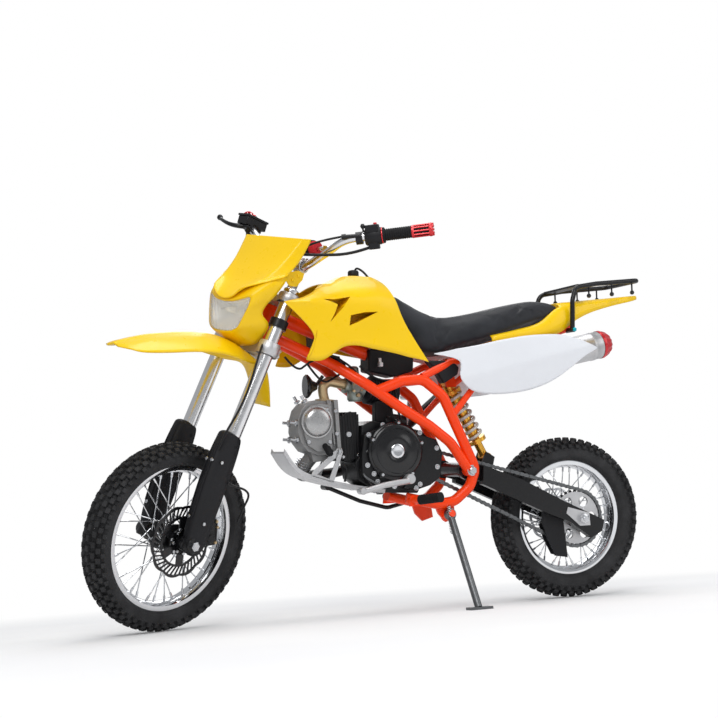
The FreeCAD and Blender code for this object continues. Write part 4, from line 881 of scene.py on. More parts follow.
def lamp(loop):
    """Bowed lens, the bowl behind it and a bulb, inside a loop of y and z."""
    scale = np.linspace(0, 1, 9)[:, None, None]
    flat = LAMP_MIDDLE + (loop[None] - LAMP_MIDDLE) * scale
    x = lens_front(flat[..., 0], flat[..., 1]) - 2 * scale[..., 0] ** 4
    dome = np.stack((x, flat[..., 0], flat[..., 1]), axis=-1)
    piece("lamp_lens", "steering", sheet(dome, close_columns=True), "lamp glass", ["headlamp"], thick=2.0)
    bowl_x = x - 6 - 40 * (1 - scale[..., 0] ** 2)
    bowl = np.stack((bowl_x, flat[..., 0] * 0.99, flat[..., 1]), axis=-1)
    piece("lamp_reflector", "steering", sheet(bowl, close_columns=True), "reflector", thick=1.5)
    bulb = revolved([(0, 26), (5, 24), (8, 18), (8, 4), (11, 0), (11, -12), (0, -12)], (424, 0, 842),
                    (1, 0, 0.05), 24)
    piece("lamp_bulb", "steering", bulb, "bulb")


def mask():
    """Shield, moulding, lamp and the two stays."""
    mask_shield()
    ring = smooth_path(LAMP_RING, 5)
    ring = np.concatenate((ring, ring[-2:0:-1] * np.array((-1, 1, 1, -1, 1))))
    mask_moulding(ring)
    lamp(ring[:, :2])
    stay = joined(extruded([(342, 950), (297, 958), (276, 950), (281, 933), (302, 914), (326, 916),
                            (346, 936)], 98, 101), bolts([(298, 101, 944), (318, 101, 932)], (0, 1, 0), 5, 3))
    piece("mask_stays", "steering", both(stay), "yellow")


# Columns: x and z of the top, x and z of the underside, half width.
SEAT_ROWS = [(-26, 866, -32, 852, 40), (-42, 878, -38, 836, 52), (-63, 883, -50, 812, 60),
             (-93, 863, -82, 765, 68), (-133, 838, -124, 722, 78), (-172, 821, -166, 717, 84),
             (-214, 817, -204, 722, 90), (-289, 828, -292, 743, 98), (-386, 849, -372, 767, 103),
             (-469, 864, -471, 798, 98), (-525, 867, -530, 814, 88), (-566, 862, -566, 826, 68),
             (-586, 852, -585, 838, 40)]


def seat():
    """Long seat: closed squared rounds between top and underside, blown up softly as stitched foam."""
    rows = smooth_path(SEAT_ROWS, 6)
    top, low, half = rows[:, None, 0:2], rows[:, None, 2:4], rows[:, 4:5]
    turn = around(48)[None, :]
    share = (1 + lobe(turn - pi / 2, 0.55)) / 2
    width = half * lobe(turn, 0.5) * (1.0 - 0.2 * share ** 1.5)
    middle = low + (top - low) * share[..., None]
    whole = closed_rings(np.stack((middle[..., 0], width, middle[..., 1]), axis=-1))
    cushion = piece("seat_foam", "chassis", whole, "seat vinyl", ["seat"])
    puff(cushion, 0.0045, 4.0, 0.006)


def puff(thing, voxel, pressure, cap):
    """Even mesh, then cloth blown up from inside, with no point moved further than the cap."""
    remesh = thing.modifiers.new("even", "REMESH")
    remesh.mode = "VOXEL"
    remesh.voxel_size = voxel
    applied(thing)
    rest = np.empty(len(thing.data.vertices) * 3)
    thing.data.vertices.foreach_get("co", rest)
    cloth = thing.modifiers.new("cloth", "CLOTH")
    cloth.settings.use_pressure = True
    cloth.settings.uniform_pressure_force = pressure
    cloth.settings.effector_weights.gravity = 0
    for number in range(1, 21):
        bpy.context.scene.frame_set(number)
    applied(thing)
    moved = np.empty_like(rest)
    thing.data.vertices.foreach_get("co", moved)
    shift = (moved - rest).reshape(-1, 3)
    far = np.linalg.norm(shift, axis=1, keepdims=True)
    shift *= np.minimum(1, cap / np.maximum(far, 1e-9))
    thing.data.vertices.foreach_set("co", (rest.reshape(-1, 3) + shift).ravel())
    thing.data.polygons.foreach_set("use_smooth", np.full(len(thing.data.polygons), True))
    thing.data.update()
    bpy.context.scene.frame_set(1)
    rounder = thing.modifiers.new("round", "SUBSURF")
    rounder.levels = 1
    rounder.render_levels = 1


class BIKE_OT_bodywork(bpy.types.Operator):
    """Moulded covers, mudguards, number panels, lamp mask and the long seat"""

    bl_idname = "bike.bodywork"
    bl_label = "Bodywork"

    def execute(self, context):
        tank_cover()
        front_fender()
        rear_fender()
        side_panel(1, "side_panel_left")
        side_panel(-1, "side_panel_right")
        mask()
        seat()
        return {"FINISHED"}


# Outline of the head casting seen from the left, from its lower front corner round: x and z.
HEAD_OUTLINE = [(122, 446), (150, 441), (184, 442), (214, 454), (232, 478), (240, 506), (238, 540),
                (230, 566), (214, 584), (190, 592), (158, 590), (129, 583)]
ROUND_COVER = np.array((-24.0, 84.0, 448.0))
HEAD_CAP = np.array((190.0, 56.0, 533.0))
# Columns: x, y and z of each case bolt on the left side.
CASE_BOLTS = [(52, 86, 494), (58, 86, 412), (30, 86, 366), (-100, 86, 496), (-150, 86, 452), (-150, 86, 400),
              (-96, 86, 354), (-20, 86, 352), (40, 86, 388), (-84, 86, 344), (10, 86, 520)]
# Lugs round the round cover: their angles and the circle that they stand on.
LUG_ANGLES = np.radians((25, 95, 165, 235, 305))
LUG_CIRCLE = 77


def disc_cover(centre, side, profile, sides=72):
    """Turned cover whose profile of (radius, height) stands out to one side of the engine."""
    return revolved(profile, centre, (0, side, 0), sides)


def cylinder_head():
    """Cast head: rounded body, gasket flange, side box, polished round cover, studs, fins and plug."""
    body = extruded(HEAD_OUTLINE, -44, 44)
    sides = both(extruded([(146, 456), (190, 452), (216, 470), (226, 500), (224, 556), (208, 578), (176, 584),
                           (146, 578)], 40, 56))
    flange = extruded([(119, 443), (131, 442), (139, 592), (127, 592)], -56, 56)
    lower = extruded([(150, 428), (196, 424), (204, 462), (146, 462)], -30, 36)
    ribs = joined(*[extruded([(136 + i * 4, 470 + i * 30), (142 + i * 4, 470 + i * 30),
                              (150 + i * 4, 592), (146 + i * 4, 592)], 44, 54) for i in range(3)])
    neck = tube(smooth_path([(184, -6, 440), (196, -16, 424), (206, -26, 408)], 6), 19, 24)
    piece("engine_head", "chassis", joined(body, sides, flange, lower, ribs, neck), "cast grey",
          ["cylinder_head"], bevel=2.6)
    cap = disc_cover(HEAD_CAP, 1, [(44, 0), (44, 4), (40, 5), (38.5, 7), (38, 11), (34, 15.5), (24, 18.5),
                                   (10, 19.8), (0, 20)])
    piece("engine_head_cap", "chassis", cap, "cap grey", merge=True)
    fins = joined(*[revolved([(18, 0), (24, 0), (24, 2.4), (18, 2.4)],
                             (200 + i * 2.2, -20 - i * 2.4, 428 - i * 6.2), (0.3, -0.35, -0.9), 28)
                    for i in range(4)])
    studs = joined(*[rod((236, y, z), (258, y, z + 2), 4.2, 14) for y in (-34, 34) for z in (486, 532)],
                   *[rod((214, y, 586), (226, y, 606), 4.2, 14) for y in (-30, 34)],
                   bolts([(238, y, z) for y in (-34, 34) for z in (486, 532)], (1, 0, 0), 9, 7),
                   bolts([(215, y, 588) for y in (-30, 34)], (0.5, 0, 0.86), 9, 7),
                   bolts([(160, 56, 566), (216, 56, 556), (154, 56, 478), (214, 56, 480), (133, 56, 500),
                          (135, 56, 562)], (0, 1, 0), 6.5, 5),
                   bolts([(160, -56, 566), (216, -56, 556), (154, -56, 478), (214, -56, 480)], (0, -1, 0),
                         6.5, 5))
    piece("engine_head_studs", "chassis", joined(studs, fins), "steel")
    plug = joined(rod((168, 54, 468), (166, 70, 460), 8, 16),
                  revolved([(0, 0), (10, 0), (10, 18), (7, 26), (0, 26)], (166, 68, 461), (-0.1, 0.75, -0.65),
                           18))
    piece("engine_plug_cap", "chassis", plug, "grip rubber")


def barrel():
    """Black cylinder block with close cooling fins and its two side bolts."""
    core = extruded([(62, 420), (116, 424), (126, 552), (62, 552)], -40, 40)
    fins = joined(*[extruded([(66 + i * 8, 428), (69.5 + i * 8, 428), (75.5 + i * 8, 558), (72 + i * 8, 558)],
                             -52, 52) for i in range(7)])
    guard = extruded([(64, 432), (112, 424), (120, 546), (90, 560), (66, 550)], 38, 50)
    piece("engine_barrel", "chassis", joined(core, fins, guard), "black paint",
          ["cylinder"], bevel=0.8)
    piece("engine_barrel_bolts", "chassis", joined(
        revolved([(0, 5), (7, 5), (8.5, 3), (8.5, 0)], (97, 50, 497), (0, 1, 0), 24),
        bolts([(70, 50, 440), (114, 50, 436)], (0, 1, 0), 5, 4)), "steel")


def crankcase():
    """Black case of stepped halves with a ribbed belly and the starter's drum on top."""
    case = extruded([(62, 520), (30, 532), (-60, 516), (-118, 500), (-162, 456), (-166, 400), (-150, 358),
                     (-95, 336), (38, 346), (76, 372), (84, 420), (66, 440)], -62, 62)
    # The chain leaves through an open pocket behind x = -60 on the left.
    left = joined(extruded([(62, 496), (20, 512), (-44, 516), (-56, 500), (-56, 352), (-20, 346), (44, 356),
                            (72, 388), (72, 440)], 60, 84),
                  extruded([(-52, 504), (-88, 496), (-150, 476), (-168, 440), (-160, 372), (-128, 350),
                            (-84, 338), (-52, 346)], 76, 86))
    right = extruded([(44, 488), (-60, 504), (-140, 484), (-158, 424), (-140, 366), (-100, 344), (30, 352),
                      (64, 392)], -84, -60)
    belly = joined(*[extruded([(-110, 338), (40, 346), (40, 336), (-104, 328)], y - 2, y + 2)
                     for y in np.linspace(-48, 48, 7)])
    starter = revolved([(0, 0), (24, 0), (26, 3), (26, 64), (22, 68), (0, 68)], (-16, 18, 530),
                       (-1, 0, -0.14), 36)
    piece("engine_case", "chassis", joined(case, left, right, belly, starter), "black paint", ["crankcase"],
          bevel=2.2)


def case_covers():
    """Round covers with a polished slotted cap, the lugs and bolts round them, and the small lines below."""
    big = disc_cover(ROUND_COVER, 1, [(80, 0), (80, 10), (77, 13), (75, 14), (75, 17), (72, 20.5), (68, 22),
                                      (62, 22.4), (60, 20), (44, 20.5), (40, 22.5), (24, 23), (21, 21),
                                      (0, 21)], 96)
    clutch = disc_cover((-58, -84, 430), -1, [(72, 0), (72, 10), (69, 14), (60, 17), (56, 15), (30, 15),
                                              (26, 20), (0, 21)], 72)
    lugs = [revolved([(9, 0), (9, 15), (7.5, 17), (0, 17)], on_circle(ROUND_COVER, LUG_CIRCLE, a), (0, 1, 0),
                     20) for a in LUG_ANGLES]
    piece("engine_round_covers", "chassis", joined(big, clutch, *lugs), "black gloss")
    cap = disc_cover(ROUND_COVER + np.array((0, 21, 0)), 1,
                     [(19.5, 0), (19.5, 2.5), (17.5, 4), (14, 4.4), (8, 3.4), (0, 3.0)], 48)
    x, _, z = ROUND_COVER
    slot = block(x - 8, x + 8, 104, 109.4, z - 1.6, z + 1.6)
    piece("engine_cover_cap", "chassis", joined(cap, slot), "chrome", merge=True)
    lug_bolts = [on_circle(ROUND_COVER, LUG_CIRCLE, a, 17) for a in LUG_ANGLES]
    heads = joined(bolts(CASE_BOLTS + lug_bolts, (0, 1, 0), 4.6, 4.5),
                   *[revolved([(0, 2), (7, 2), (7.6, 0)], p, (0, 1, 0), 18) for p in CASE_BOLTS],
                   bolts([(x, -84, z) for x, _, z in CASE_BOLTS[:9]], (0, -1, 0), 4.6, 4.5))
    piece("engine_case_bolts", "chassis", heads, "steel", flat=True)
    drain = bolts([(-10, 0, 334)], (0, 0, -1), 10, 7)
    lines = joined(tube(smooth_path([(66, 78, 440), (40, 92, 470), (40, 92, 490)], 6), 2.4, 10),
                   tube(smooth_path([(70, 70, 400), (64, 88, 380), (30, 92, 358)], 6), 3, 10))
    piece("engine_drain", "chassis", joined(drain, lines), "dark steel")


def intake():
    """Brass-grey manifold, carburettor with its bowl, choke, clip and black air filter."""
    bend = tube(smooth_path([(146, 6, 588), (152, 6, 612), (150, 6, 632), (132, 4, 644), (104, 2, 640),
                             (84, 0, 636)], 8), np.linspace(13, 15, 41), 28)
    flange = extruded([(128, 586), (166, 590), (166, 597), (128, 593)], -22, 32)
    piece("intake_manifold", "chassis", joined(bend, flange), "brass", merge=False)
    body = joined(revolved([(0, 0), (24, 0), (24, 8), (20, 10), (20, 46), (25, 48), (25, 58), (0, 58)],
                           (86, 0, 636), (-1, 0, -0.26), 40),
                  revolved([(0, 0), (20, 0), (22, 3), (22, 26), (18, 32), (0, 32)], (58, 6, 620), (0, 0, -1),
                           36), revolved([(0, 0), (17, 0), (18, 3), (18, 40), (14, 45), (6, 47), (0, 47)],
                                         (58, 0, 640), (0.1, 0, 1), 32), block(44, 74, 18, 34, 612, 640))
    piece("carburettor_body", "chassis", body, "carb grey", ["carburettor"], bevel=0.8)
    brass = joined(rod((60, 30, 604), (60, 42, 604), 5, 12), rod((50, 30, 636), (50, 44, 636), 4, 12),
                   rod((72, 30, 618), (72, 40, 616), 3.6, 12),
                   bolts([(70, 34, 634), (48, 34, 618)], (0, 1, 0), 3.6, 3))
    piece("carburettor_jets", "chassis", brass, "brass")
    folds = [(0, 0), (24, 0)]
    for i in range(9):
        folds += [(40, 6 + i * 9), (40, 10 + i * 9), (36.5, 11.5 + i * 9), (36.5, 13.5 + i * 9)]
    folds += [(38, 90), (30, 94), (0, 94)]
    piece("filter_body", "chassis", revolved(folds, (24, 0, 622), (-1, 0, -0.25), 56), "black plastic",
          ["air_filter"])
    horn = revolved([(0, 0), (30, 0), (33, 3), (33, 7), (29, 12), (18, 20), (10, 34), (0, 34)], (204, 4, 632),
                    (-1, 0.05, 0), 44)
    piece("horn", "chassis", joined(horn, rod((172, 2, 632), (150, 2, 660), 5, 14)), "black gloss")


# The can: its front end and the way that it points.
CAN_START = np.array((-556.0, -175.0, 702.0))
CAN_LINE = unit((-294.0, 0.0, 58.0))
# Columns of its end cap: radius, height, depth of the twelve scallops there.
END_ROWS = ((44.6, 0, 0), (45, 2, 0), (45, 10, 0), (43, 12, 0.2), (41.5, 20, 2.4), (37, 30, 3.4),
            (30, 38, 3.2), (21, 43.5, 1.6), (15, 45, 0.2), (13.5, 44, 0), (12.5, 38, 0), (12.5, 20, 0))
SCALLOPS = 12


def exhaust():
    """Black header, and the can: alloy body, dark front, bands and a ribbed red end."""
    path = smooth_path([(206, -26, 408), (200, -62, 388), (150, -122, 384), (20, -152, 402),
                        (-140, -152, 500), (-330, -158, 640), (-470, -172, 690), CAN_START], 8)
    piece("header_pipe", "chassis", tube(path, 15, 28), "black paint", ["exhaust_pipe"])
    can = revolved([(0, 0), (19, 0), (20, 6), (43, 34), (45, 36), (45, 44), (43.6, 46), (43.6, 262),
                    (45, 264), (45, 274), (43.6, 276), (43.6, 299), (0, 299)], CAN_START, CAN_LINE, 72)
    piece("silencer_can", "chassis", can, "alloy", ["silencer"])
    band = revolved([(44, 60), (46.4, 60), (46.4, 84), (44, 84)], CAN_START, CAN_LINE, 64)
    lug = joined(block(-628, -604, -182, -168, 754, 776), rod((-616, -190, 768), (-616, -160, 768), 4, 14))
    piece("silencer_band", "chassis", joined(band, lug), "black paint")
    end = CAN_START + CAN_LINE * 299.6
    side = np.cross(CAN_LINE, (0, 1, 0))
    turn = around(144)
    wave = 0.5 + 0.5 * np.cos(SCALLOPS * turn)
    round_line = np.cos(turn)[:, None] * np.array((0, 1, 0)) + np.sin(turn)[:, None] * side
    cap = np.array([end + CAN_LINE * height + (radius - deep * wave)[:, None] * round_line
                    for radius, height, deep in END_ROWS])
    piece("silencer_end", "chassis", sheet(cap, close_columns=True), "red", ["silencer_cap"])
    places = [end + CAN_LINE * 11 + 36 * np.array((0, c, 0)) + 36 * s * side
              for c, s in ((0.8, 0.6), (-0.8, 0.6), (0, -1))]
    outlet = revolved([(0, 24), (12.5, 24)], end, CAN_LINE, 32)
    piece("silencer_outlet", "chassis", joined(outlet, bolts(places, CAN_LINE, 4.5, 4)), "dark steel")


def foot_controls():
    """Shift arm with its eye, pegs with ribbed rubbers on their hinges, and the cast sump guard."""
    arm = tube(smooth_path([(-49, 119, 366), (20, 122, 358), (78, 124, 345), (95, 124, 343)], 6),
               np.linspace(8.5, 7.5, 19), 14)
    eye = joined(revolved([(0, 0), (13, 0), (14, 1.5), (14, 33), (13, 35), (0, 35)], (-55, 86.5, 371),
                          (0, 1, 0), 32), revolved([(0, 0), (9, 0), (9.5, 2), (9.5, 28), (8, 30), (0, 30)],
                                                   (95, 119, 345), (0, 1, 0), 24))
    piece("shift_arm", "chassis", joined(arm, eye), "alloy", ["shift_lever"])
    ribs = [(0, 0)]
    for i in range(11):
        ribs += [(13.5, 1 + i * 6), (13.5, 4 + i * 6), (11.8, 5 + i * 6), (11.8, 6.4 + i * 6)]
    ribs += [(14, 68), (14, 72), (0, 73)]
    for side, name in ((1, "left"), (-1, "right")):
        line = np.array((-40.0, side * 70.0, 9.0))
        rubber = revolved(ribs, (-80, side * 118, 313), line, 32)
        piece("peg_rubber_" + name, "chassis", rubber, "grip rubber", ["footpeg_" + name])
        hinge = joined(rod((-66, side * 80, 309), (-80, side * 119, 313), 11, 22),
                       extruded([(-94, 325), (-62, 325), (-58, 295), (-100, 295)], side * 96 - 3,
                                side * 96 + 3))
        piece("peg_hinge_" + name, "chassis", hinge, "orange")
        piece("peg_bolt_" + name, "chassis", bolts([(-72, side * 99, 309)], (0, side, 0), 7, 5), "steel")
    curve = smooth_path([(287, 451), (259, 409), (224, 384), (159, 363), (78, 345), (-1, 334)], 5)
    inner = curve + np.array((-2.0, 5.0))
    tray = extruded(np.concatenate((curve, inner[::-1])), -60, 60)
    rims = both(extruded(np.concatenate((curve + np.array((0, -1)), (curve + np.array((-3, 12)))[::-1])), 56,
                         61))
    outer = [(212, 388), (206, 400), (133, 460), (122, 460), (118, 450), (148, 366)]
    hole = [(194, 392), (186, 398), (140, 434), (138, 430), (160, 378)]
    ring = joined(*[extruded([outer[a], outer[b], hole[c], hole[d]], 56.5, 61)
                    for a, b, c, d in ((0, 1, 1, 0), (1, 2, 2, 1), (2, 3, 3, 2), (4, 5, 4, 3))],
                  extruded([(148, 366), (212, 388), (194, 392), (160, 378)], 56.5, 61),
                  extruded([(133, 460), (122, 460), (118, 450), (138, 430), (140, 434)], 56.5, 61))
    piece("sump_guard", "chassis", joined(tray, rims, both(ring)), "alloy", ["bash_plate"],
          bevel=0.6)
    piece("sump_bolts", "chassis", joined(bolts([(128, 61, 452), (128, -61, 452)], (0, 1, 0), 6, 5),
                                          bolts([(60, 30, 344), (60, -30, 344), (14, 30, 336),
                                                 (14, -30, 336)], (0, 0, -1), 6, 4)), "steel", flat=True)


class BIKE_OT_engine(bpy.types.Operator):
    """Engine castings and covers, intake, exhaust and the levers under the feet"""

    bl_idname = "bike.engine"
    bl_label = "Engine"

    def execute(self, context):
        cylinder_head()
        barrel()
        crankcase()
        case_covers()
        intake()
        exhaust()
        foot_controls()
        return {"FINISHED"}


BAR_SEAT = AXIS_FOOT + STEER_AXIS * 678
# Columns: distance along the fork, front face, rear edges, half width, of the moulded guard.
GUARD_ROWS = [(303, 72, 50, 12), (298, 80, 36, 20), (286, 84, 28, 24), (230, 86, 22, 27), (150, 82, 18, 27),
              (60, 72, 14, 26), (16, 62, 10, 24), (-16, 50, 14, 17), (-24, 42, 24, 9)]


def cut_along(shape):
    """Shape given ahead of, beside and along the steering axis, in straight-ahead millimetres."""
    return placed(shape, along_fork)


def round_part(profile, ahead, beside, sides=48):
    """Turned part on a line along the fork; profile gives radius and distance along."""
    return revolved(profile, (ahead, beside, 0), (0, 0, 1), sides)


def fork_legs():
    """Polished inner tubes with hexagon caps, wiper seals, black lower legs, axle clamps and guards."""
    tube_profile = [(0, 258), (19.5, 258), (19.5, 707), (21, 708), (21.5, 712), (21.5, 716), (19, 719),
                    (12, 720), (0, 720)]
    tubes = both(round_part(tube_profile, FORK_OFFSET, FORK_SPREAD, 56))
    caps = both(bolts([(FORK_OFFSET, FORK_SPREAD, 719)], (0, 0, 1), 11, 6))
    piece("fork_inner_tubes", "steering", cut_along(joined(tubes, caps)), "fork tube",
          ["fork_tubes"])
    seal = both(round_part([(19.6, 262), (25, 262), (25.5, 266), (25.5, 274), (22, 277), (21, 283),
                            (19.6, 284)], FORK_OFFSET, FORK_SPREAD))
    piece("fork_seals", "steering", cut_along(seal), "grip rubber")
    leg = both(joined(round_part([(0, -20), (20, -20), (22, -17), (22, 40), (23.5, 60), (23.5, 256),
                                  (21, 262), (0, 262)], FORK_OFFSET, FORK_SPREAD),
                      revolved([(0, -21), (19, -21), (21, -18), (21, 18), (19, 21), (0, 21)],
                               (FORK_OFFSET, FORK_SPREAD, 0), (0, 1, 0), 40),
                      block(18, 30, 84, 100, -26, 30)))
    along, front, back, half = columns_of(GUARD_ROWS)
    turn = np.linspace(-pi / 2, pi / 2, 33)[None, :]
    ahead = back + (front - back) * np.abs(np.cos(turn)) ** 0.55
    beside = FORK_SPREAD + half * np.sign(np.sin(turn)) * np.abs(np.sin(turn)) ** 0.75
    guard = sheet(np.stack((ahead, beside, along + 0 * turn), axis=-1))
    piece("fork_lower_legs", "steering", cut_along(leg), "black paint", ["fork_guards"],
          bevel=0.8)
    piece("fork_guard_left", "steering", cut_along(guard), "black plastic", thick=2.5)
    piece("fork_guard_right", "steering", cut_along(mirror(guard)), "black plastic",
          thick=2.5)
    rib = joined(*[tube(smooth_path([(front_x, 92 + s * 9, a)
                                     for front_x, a in ((84, 270), (86.5, 220), (83, 150), (74, 70))], 6),
                        1.6, 8) for s in (-1, 1)])
    piece("fork_guard_ribs", "steering", cut_along(both(rib)), "black plastic")
    heads = joined(bolts([(85.5, 103, 218), (85.5, 83, 218), (74, 90, 66)], (1, 0, 0), 5, 4),
                   bolts([(66, 118, 220), (44, 117.5, 60)], (0, 1, 0), 5, 4),
                   bolts([(24, 100, 12), (24, 100, -14)], (0, 1, 0), 4.5, 5))
    piece("fork_bolts", "steering", cut_along(both(heads)), "steel")
    ends = joined(revolved([(0, 0), (13, 0), (13, 6), (9, 9), (0, 9)], (FORK_OFFSET, 113, 0), (0, 1, 0), 6),
                  revolved([(0, 0), (13, 0), (13, 6), (9, 9), (0, 9)], (FORK_OFFSET, -113, 0), (0, -1, 0), 6))
    piece("front_axle_nuts", "steering", cut_along(ends), "steel")


def bridge(along, thick, pinches):
    """Fork bridge with split eyes and a web, and its pinch bolts at shares of its thickness."""
    eye = [(28.5, along), (28.5, along + 3), (30, along + 5), (30, along + thick - 5),
           (28.5, along + thick - 3), (28.5, along + thick), (20, along + thick), (20, along)]
    ends = both(round_part(eye, FORK_OFFSET, FORK_SPREAD, 48))
    middle = along + thick * 0.5
    web = joined(round_part([(0, along), (26, along), (26, along + thick), (0, along + thick)], 0, 0, 40),
                 *[tube([(6, s * 8, middle), (FORK_OFFSET - 2, s * 74, middle)], thick * 0.46, 20)
                   for s in (-1, 1)], block(16, 44, -66, 66, along + 3, along + thick - 3))
    ears = both(block(FORK_OFFSET - 34, FORK_OFFSET - 22, 84, 104, along + 4, along + thick - 4))
    pinch = both(bolts([(FORK_OFFSET - 28, 104, along + thick * share) for share in pinches], (0, 1, 0), 5,
                       5))
    return joined(ends, web, ears), pinch


def clamps():
    """Cast fork bridges with pinch bolts, stem nut and bar risers."""
    low, low_bolts = bridge(528, 36, (0.28, 0.72))
    high, high_bolts = bridge(678, 26, (0.5,))
    piece("fork_bridge_low", "steering", cut_along(low), "alloy", ["lower_clamp"], bevel=1.2)
    piece("fork_bridge_high", "steering", cut_along(high), "alloy", ["upper_clamp"], bevel=1.2)
    nut = bolts([(0, 0, 704)], (0, 0, 1), 15, 9)
    piece("fork_bridge_bolts", "steering", cut_along(joined(low_bolts, high_bolts, nut)), "steel")
    posts = []
    for side in (-1, 1):
        foot = along_fork([(4, side * 44, 700)])[0]
        top = BAR_SEAT + np.array((-50, side * 44, 108))
        posts += [tube([foot, foot + (top - foot) * 0.15, foot + (top - foot) * 0.8, top], (17, 13, 13, 15),
                       24), revolved([(15, -14), (19, -14), (20, -12), (20, 12), (19, 14), (15, 14)],
                                     BAR_SEAT + np.array((-50, side * 44, 117)), (0, 1, 0), 40)]
    piece("bar_risers", "steering", joined(*posts), "alloy")
    heads = [BAR_SEAT + np.array((x, side * 44 + y, 134)) for side in (-1, 1) for x in (-66, -34)
             for y in (-7, 7)]
    piece("bar_riser_bolts", "steering", bolts(heads, (0, 0, 1), 4, 5), "steel")

# Brake discs: half thickness of the band and of the carrier, waves, arms, and each disc's own y.
DISC_HALF = 1.7
ARM_HALF = 2.4
DISC_WAVES = 10
DISC_ARMS = 6
FRONT_DISC_Y = 57.0
REAR_DISC_Y = -60.0


def wavy_band(inner, outer, half_thick, waves=0, deep=0.0):
    """Flat ring whose outer edge swells by deep, waves times round, and its inner edge by half as much."""
    turn = around(360)
    swell = deep * (np.abs(np.cos(turn * waves / 2)) - 0.5)
    edges = [(inner + swell * 0.5, -half_thick), (outer + swell, -half_thick), (outer + swell, half_thick),
             (inner + swell * 0.5, half_thick)]
    rings = [np.stack((r * np.cos(turn), np.full(360, h), r * np.sin(turn)), axis=1) for r, h in edges]
    return sheet(np.array(rings), close_rows=True, close_columns=True)


def slotted_disc(centre, y, outer, inner):
    """Brake disc: waved rim and inner ring, slanted bars with slots between them, and carrier arms."""
    shape = [wavy_band(outer - 9, outer - 2.5, DISC_HALF, DISC_WAVES, 5.0),
             wavy_band(inner, inner + 6, DISC_HALF)]
    for i in range(DISC_WAVES * 4):
        a = 2 * pi * i / (DISC_WAVES * 4)
        b = a + 0.16
        corners = [(r * cos(t) - w * sin(t), r * sin(t) + w * cos(t))
                   for r, t, w in ((inner + 4, a, 1.9), (outer - 7, b, 1.9), (outer - 7, b, -1.9),
                                   (inner + 4, a, -1.9))]
        shape.append(extruded(corners, -DISC_HALF, DISC_HALF))
    for i in range(DISC_ARMS):
        a = 2 * pi * (i + 0.5) / DISC_ARMS
        corners = [(r * cos(a + t), r * sin(a + t))
                   for r, t in ((22, -0.5), (inner + 3, -0.12), (inner + 3, 0.2), (22, 0.5))]
        shape.append(extruded(corners, -ARM_HALF, ARM_HALF))
    shape.append(wavy_band(18, 34, ARM_HALF))
    side = np.sign(y)
    middle = np.array((centre[0], y, centre[2]))
    places = [on_circle(middle, 27, a, ARM_HALF * side) for a in np.arange(DISC_ARMS) * 2 * pi / DISC_ARMS]
    return placed(joined(*shape), lambda points: points + middle), bolts(places, (0, side, 0), 4.2, 4)


def caliper(x0, x1, z0, z1, disc_y, side):
    """Two-piston caliper about a disc, and its bolts: an outer half, an inner half and a bridge."""
    out, back = disc_y + side * 4, disc_y - side * 4
    face, rear = out + side * 14, back - side * 9
    shape = joined(extruded([(x0, z0 + 8), (x0 + 6, z0), (x1 - 6, z0), (x1, z0 + 8), (x1, z1 - 8),
                             (x1 - 6, z1), (x0 + 6, z1), (x0, z1 - 8)], *sorted((out, face))),
                   extruded([(x0, z0 + 8), (x0 + 4, z0), (x1 - 6, z0 + 2), (x1, z0 + 10), (x1, z1 - 10),
                             (x1 - 6, z1 - 2), (x0 + 4, z1), (x0, z1 - 8)], *sorted((back, rear))),
                   block(x0, x0 + 9, *sorted((rear, face)), z0 + 10, z1 - 10))
    pistons = joined(*[revolved([(12, 0), (12, 3), (9, 4), (0, 4)], ((x0 + x1) / 2 + 2, face, z),
                                (0, side, 0), 28) for z in (z0 + 18, z1 - 18)])
    return joined(shape, pistons), bolts([(x0 + 6, face, z) for z in (z0 + 7, z1 - 7)], (0, side, 0), 4.5, 5)


def brakes():
    """Waved discs and their calipers with bridge bolts, bleed nipple and hose bolt."""
    disc, heads = slotted_disc(FRONT_AXLE, FRONT_DISC_Y, 95.0, 60.0)
    piece("front_brake_disc", "front_wheel", disc, "black gloss", ["front_disc"], flat=True)
    piece("front_disc_bolts", "front_wheel", heads, "steel")
    disc, heads = slotted_disc(REAR_AXLE, REAR_DISC_Y, 85.0, 54.0)
    piece("rear_brake_disc", "rear_wheel", disc, "steel", ["rear_disc"], flat=True)
    piece("rear_disc_bolts", "rear_wheel", heads, "steel")
    x, _, z = FRONT_AXLE
    body, fixings = caliper(x - 104, x - 66, z - 18, z + 52, FRONT_DISC_Y, 1)
    arm = extruded([(x - 100, z - 8), (x - 60, z - 4), (x - 12, z - 16), (x + 2, z + 10), (x - 30, z + 44),
                    (x - 84, z + 44)], 70, 76)
    piece("front_brake_caliper", "steering", joined(body, arm), "black paint", ["front_caliper"], bevel=1.0)
    brass = joined(rod((x - 84, 66, z + 50), (x - 86, 66, z + 64), 4.5, 12),
                   bolts([(x - 100, 76, z + 30)], (0, 1, 0), 4, 6))
    piece("front_caliper_bolts", "steering", joined(fixings, brass), "brass")
    x, _, z = REAR_AXLE
    body, fixings = caliper(x + 52, x + 88, z + 36, z + 90, REAR_DISC_Y, -1)
    piece("rear_brake_caliper", "chassis", joined(body, block(x + 26, x + 82, -77, -71, z + 14, z + 66)),
          "black paint", ["rear_caliper"], bevel=1.0)
    piece("rear_caliper_bolts", "chassis", fixings, "steel")


def at_bar(shape, side):
    """Shape drawn inwards from the bar's end, ahead of it and above it, to straight-ahead millimetres."""
    tip = BAR_SEAT + np.array((-206, side * 366, 243))
    inward = unit(BAR_SEAT + np.array((-78, side * 190, 199)) - tip)
    above = unit(np.array((0, 0, 1)) - inward * inward[2])
    ahead = np.cross(above, inward) * side
    basis = np.stack((inward, ahead, above))
    faces = shape.faces if side > 0 else [face[::-1] for face in shape.faces]
    return Shape().add(shape.all_points() @ basis + tip, faces)


